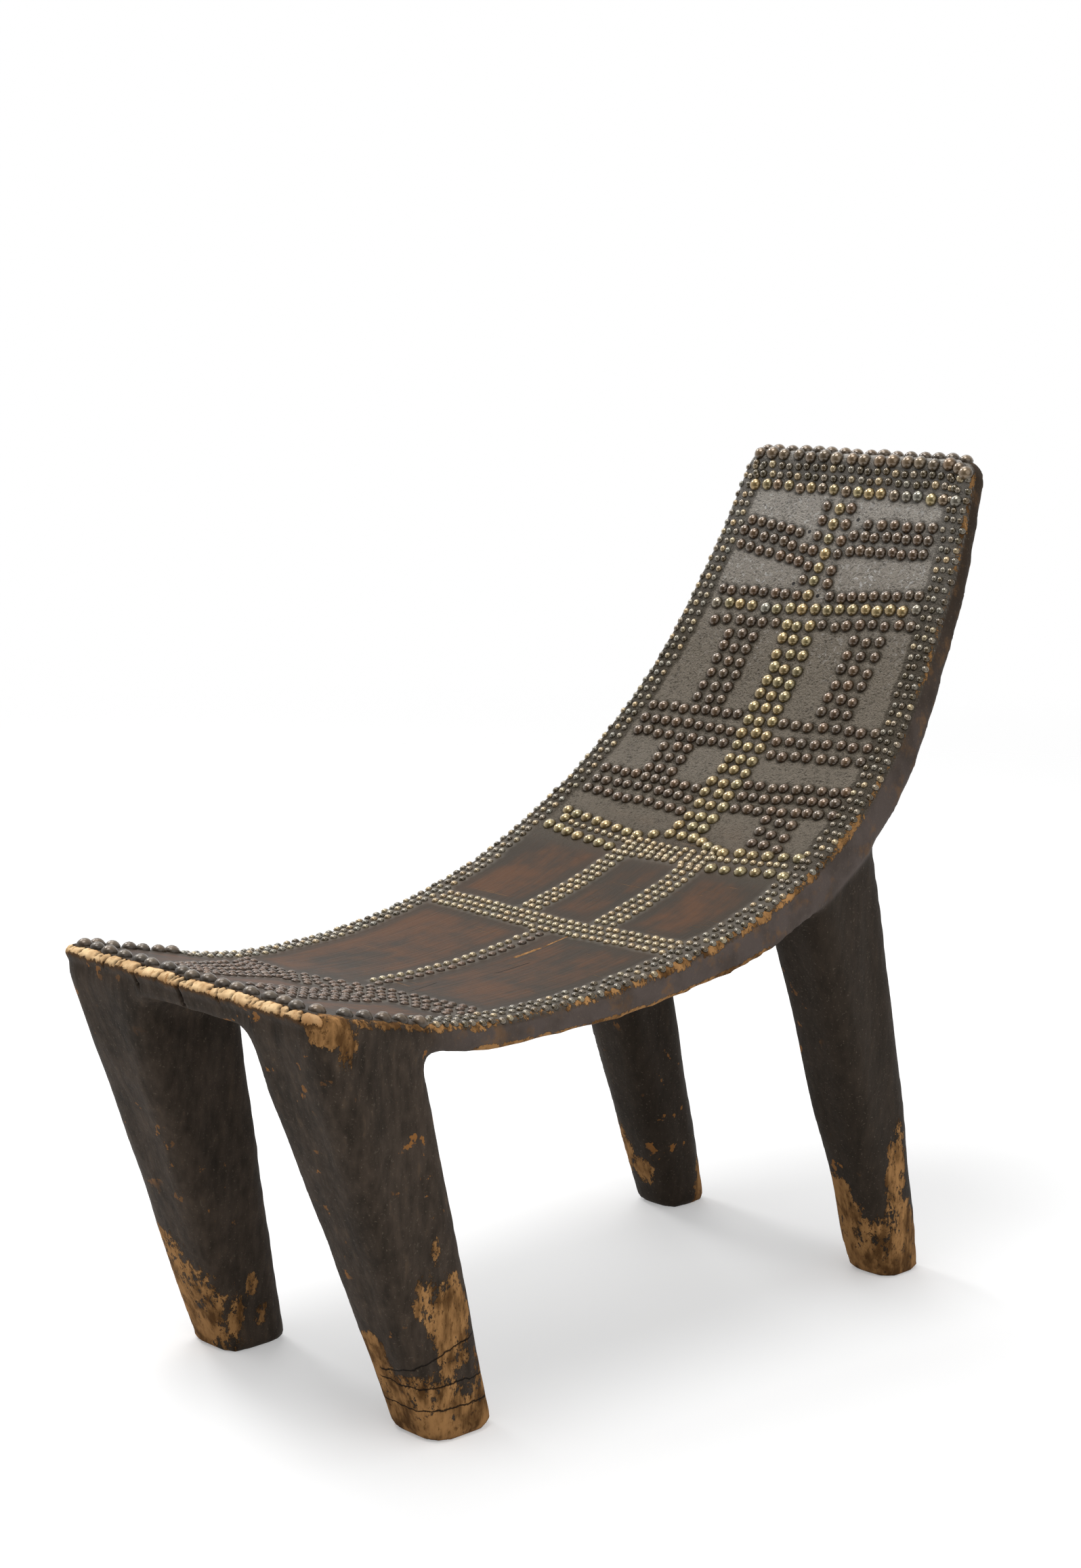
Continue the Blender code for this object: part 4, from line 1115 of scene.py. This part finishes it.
lines = w.noise(900, (0.02, 1, 0.3), detail=1.0, turn=(0, 0, 0.5)).step(0.70, 0.76)
scratches = lines * w.noise(30).step(0.5, 0.6)
face = (scratches * (1 - on_back) * 0.4).blend(face, TAN_LIGHT)
face = (dust.step(0.62, 0.92) * (1 - on_back) * 0.75 * (specks * 0.7 + 0.3)).blend(face, DUST)
wood_colour = upper.blend(stain_and_shade, face)
threads = w.noise(150, (1, 1, 0.3), detail=5) * 0.4 + mottle * 0.35 + blotches * 0.25
fibres = threads.step(0.36, 0.62)
ragged_noise = (w.noise(60, (1, 1, 0.6), detail=9, rough=0.75) - 0.5) * 1.8
ragged_noise = ragged_noise + (w.flakes(110, 0.01) - 0.5) * 0.4
ragged_noise = ragged_noise + (w.noise(260, (1, 1, 0.6), detail=7, rough=0.78) - 0.5) * 2.4
tan = (bare * (1 + ragged_noise * bare.step(0.02, 0.2)) + split * 0.9).step(0.48, 0.54)
dirt = w.noise(340, (1, 1, 0.5), detail=5, rough=0.7).step(0.54, 0.70)
tan_wood = (fibres - dirt * 0.5).step(0.0, 1.0)
wood_colour = tan.blend(wood_colour, tan_wood.blend(TAN_DARK, TAN_LIGHT))
print("with the bare wood:", len(finish.node_tree.nodes), "nodes")

# %% The pale lip and the dark marks
PALE_DARK = (0.360, 0.175, 0.062)
PALE = (0.950, 0.690, 0.390)
CRACK = (0.012, 0.009, 0.007)
# the lip is browner towards its right end
LIP_BROWN = (0.09, 0.145)

nicks = w.noise(170, (1, 0.4, 0.4), detail=5, rough=0.65).step(0.56, 0.66)
torn_edge = pale + ragged_noise * 0.30
lip = torn_edge.step(0.44, 0.52)
wood_colour = (torn_edge.step(0.26, 0.42) * 0.8).blend(wood_colour, TAN_DARK)
# painted shade: dark noise marks on the pale lip stand for the shade in its chips and nicks
brightness = pale.step(0.30, 0.75) * (0.3 + fibres * 0.7) * (1 - nicks * 0.85)
brightness = brightness * (1 - across.step(*LIP_BROWN) * 0.7)
wood_colour = lip.blend(wood_colour, brightness.blend(PALE_DARK, PALE))
ragged = w.sum("MAXIMUM", tan, lip)
dark = w.sum("MAXIMUM", crack, gouge)
dark = w.sum("MAXIMUM", dark, w.sum("MAXIMUM", holes * upper, foot_cracks * (1 - upper)))
wood_colour = dark.blend(wood_colour, CRACK)
w.feed(sockets["Base Color"], wood_colour)
print("colour of the wood:", len(finish.node_tree.nodes), "nodes")

# %% Polish and relief of the wood
POLISH = 0.03
POLISH_TOP = 0.85
WOOD_COAT_ROUGHNESS = 0.24
WOOD_SHINE = 0.08
SHINE_TINT = (1.0, 0.88, 0.72)
CRINKLE_DEPTH = 0.0050
GRAIN_DEPTH = 0.0006
FIBRE_DEPTH = 0.0016
MARK_DEPTH = 0.0014

polish = run.step(0.68, 0.82) * POLISH_TOP + POLISH
coat = upper * (1 - ragged) * (polish - dust.step(0.4, 1.0) * polish * 0.5)
relief = w.bump(upper * on_back * crinkle, CRINKLE_DEPTH)
relief = w.bump(upper * (1 - on_back) * (grain * 0.7 - scratches * 0.6), GRAIN_DEPTH, relief)
roughened = (1 - upper) * (streaks * 0.3 + fine * 0.3 + specks * 0.2)
relief = w.bump(roughened - ragged * 0.3, FIBRE_DEPTH, relief)
relief = w.bump(1 - dark, MARK_DEPTH, relief)
gloss = {
    "Roughness": 0.62 - upper * 0.12 + ragged * 0.2 + (specks - 0.5) * 0.15,
    "Coat Weight": coat,
    "Coat Roughness": WOOD_COAT_ROUGHNESS,
    "Specular IOR Level": WOOD_SHINE,
    "Specular Tint": SHINE_TINT,
    "Normal": relief,
}
w.feed_all(sockets, gloss)
body.data.materials.clear()
body.data.materials.append(finish)
print("wood finish:", len(finish.node_tree.nodes), "nodes")

# %% [markdown]
# ## The finish of the tacks
# All heads are thin stamped metal. Each has its own colour in an attribute. Its crown is rubbed and
# its rim is dark with dirt and with painted shade, so the crown attribute darkens and roughens the
# metal towards the rim.
# Old metal is half covered by patina, so it isn't fully metallic, and a thin coat gives the small
# white highlight that patina and grease keep.

# %% Metal of the heads
COAT_ROUGHNESS = 0.06


def tack_metal(name, rim, roughness, metallic, coat):
    """A metal finish that darkens to rim, a share of its colour, at the edge of the head, as dirt and
    painted shade.
    """
    made, w, sockets = new_material(name)
    alloy, crown = w.attribute("alloy", 0), w.attribute("crown")
    stains = w.noise(520, detail=3)
    # painted shade: the head is painted darker towards its rim, as dirt and as shade
    rim_dirt_and_shade = rim + crown.step(0.05, 0.8) * (1 - rim)
    look = {
        "Base Color": (rim_dirt_and_shade * (0.7 + stains * 0.6)).shade(alloy),
        "Roughness": roughness + (stains - 0.5) * 0.2 + (1 - crown.step(0.0, 0.6)) * 0.2,
        "Metallic": metallic,
        "Coat Weight": coat,
        "Coat Roughness": COAT_ROUGHNESS,
    }
    w.feed_all(sockets, look)
    return made


METALS = {
    "brass": tack_metal("rubbed_brass", 0.36, 0.24, 0.7, 1.0),
    "copper": tack_metal("brown_patina", 0.32, 0.26, 0.5, 1.0),
    "iron": tack_metal("dark_iron", 0.32, 0.28, 0.5, 0.9),
    "medium": tack_metal("brown_medium", 0.28, 0.36, 0.4, 0.35),
    "small": tack_metal("dull_brass", 0.38, 0.26, 0.55, 0.9),
}
ROW_METALS = {"top_face_row": "iron", "front_edge_row": "medium"}
for node, piece in pieces.items():
    piece.data.materials.clear()
    piece.data.materials.append(METALS[ROW_METALS.get(node, FINISH_OF.get(node, "copper"))])
print("metals:", len(METALS))

# %% [markdown]
# ## Floor, light and background
# The photograph has a white ground with a soft shadow. The floor is a pale grey that the light makes
# nearly white, plus a little white of its own that only the camera and reflections see, so the shadow
# stays on it. It fades out towards its rim, so that no horizon shows. The key lamp hangs high in front
# and gives the shadow, and a second one above the rear left softens it. A small lamp on the left gives
# every dome its highlight, and a large weak one fills from the right. The world does the rest: white
# all round to look at, and dimmer at the front right, where the domes mirror a dim room.

# %% The floor
FLOOR_SIZE = 14.0
FLOOR_COLOUR = (0.76, 0.76, 0.76)
FLOOR_WHITE = 0.31
FLOOR_ROUGHNESS = 0.9
FADE = (1.3, 3.5)


def seen_rays(w):
    """1 for what the camera sees straight, and 1 for what it sees in or through something."""
    kinds = ("Camera", "Glossy", "Transmission")
    straight, glossy, through = (
        w.node("ShaderNodeLightPath", None, None, f"Is {kind} Ray") for kind in kinds
    )
    return straight, w.sum("MAXIMUM", glossy, through)


bpy.ops.object.select_all(action="DESELECT")
bpy.ops.mesh.primitive_grid_add(x_subdivisions=4, y_subdivisions=4, size=FLOOR_SIZE)
floor = bpy.context.object
floor.name = "floor"
floor_finish, w, sockets = new_material("pale_floor")
own_white = w.sum("MAXIMUM", *seen_rays(w)) * FLOOR_WHITE
look = {
    "Base Color": FLOOR_COLOUR,
    "Emission Color": own_white.shade((1.0, 1.0, 1.0)),
    "Emission Strength": 1.0,
    "Roughness": FLOOR_ROUGHNESS,
    "Specular IOR Level": 0.0,
}
w.feed_all(sockets, look)
out_from_middle = w.measure("LENGTH", w.place())
clear = w.node("ShaderNodeBsdfTransparent")
solid = Wire(w.tree, w.tree.nodes["Principled BSDF"].outputs[0])
shown = w.node("ShaderNodeMixShader", None, {0: out_from_middle.step(*FADE), 1: solid, 2: clear})
w.feed(w.tree.nodes["Material Output"].inputs["Surface"], shown)
floor.data.materials.append(floor_finish)
print("floor", FLOOR_SIZE, "m wide")

# %% The lamps
# name, place, size in metres and power in watts
LAMPS = (
    ("key", (0.0, -1.6, 5.5), 2.8, 148.0),
    ("top", (-2.0, 0.9, 4.2), 2.0, 35.0),
    ("left", (-2.7, -0.1, 2.7), 0.9, 30.0),
    ("fill", (2.2, -0.6, 1.6), 3.0, 25.0),
)
AIM = Vector((0.0, 0.0, 0.3))

for name, where, size, power in LAMPS:
    lamp_data = bpy.data.lights.new(name, "AREA")
    lamp_data.shape = "DISK"
    lamp_data.size = size
    lamp_data.energy = power
    lamp = bpy.data.objects.new(name, lamp_data)
    lamp.location = where
    lamp.rotation_euler = (AIM - Vector(where)).to_track_quat("-Z", "Y").to_euler()
    bpy.context.scene.collection.objects.link(lamp)
print("lamps:", len(LAMPS))

# %% The world
AMBIENT = 0.46
# the way to the dim room, its soft edge, and how dim it is as light and in a mirror
ROOM_SIDE = (0.72, -0.66, 0.0)
ROOM_EDGE = (-0.4, 0.8)
ROOM_SHADE = 0.5
ROOM_DARK = 0.88

world = bpy.data.worlds.new("studio")
bpy.context.scene.world = world
world.use_nodes = True
w = Wire(world.node_tree)
sky = world.node_tree.nodes["Background"].inputs
w.feed(sky["Color"], (1.0, 1.0, 1.0))
towards = w.node("ShaderNodeTexCoord", None, None, "Generated")
room = w.measure("DOT_PRODUCT", towards, ROOM_SIDE).step(*ROOM_EDGE)
straight, mirrored = seen_rays(w)
strength = AMBIENT * (1 - room * ROOM_SHADE) * (1 - mirrored) + (1 - room * ROOM_DARK) * mirrored
w.feed(sky["Strength"], straight + (1 - straight) * strength)
bpy.context.scene.view_settings.view_transform = "Standard"
print("world:", len(world.node_tree.nodes), "nodes")

# %% [markdown]
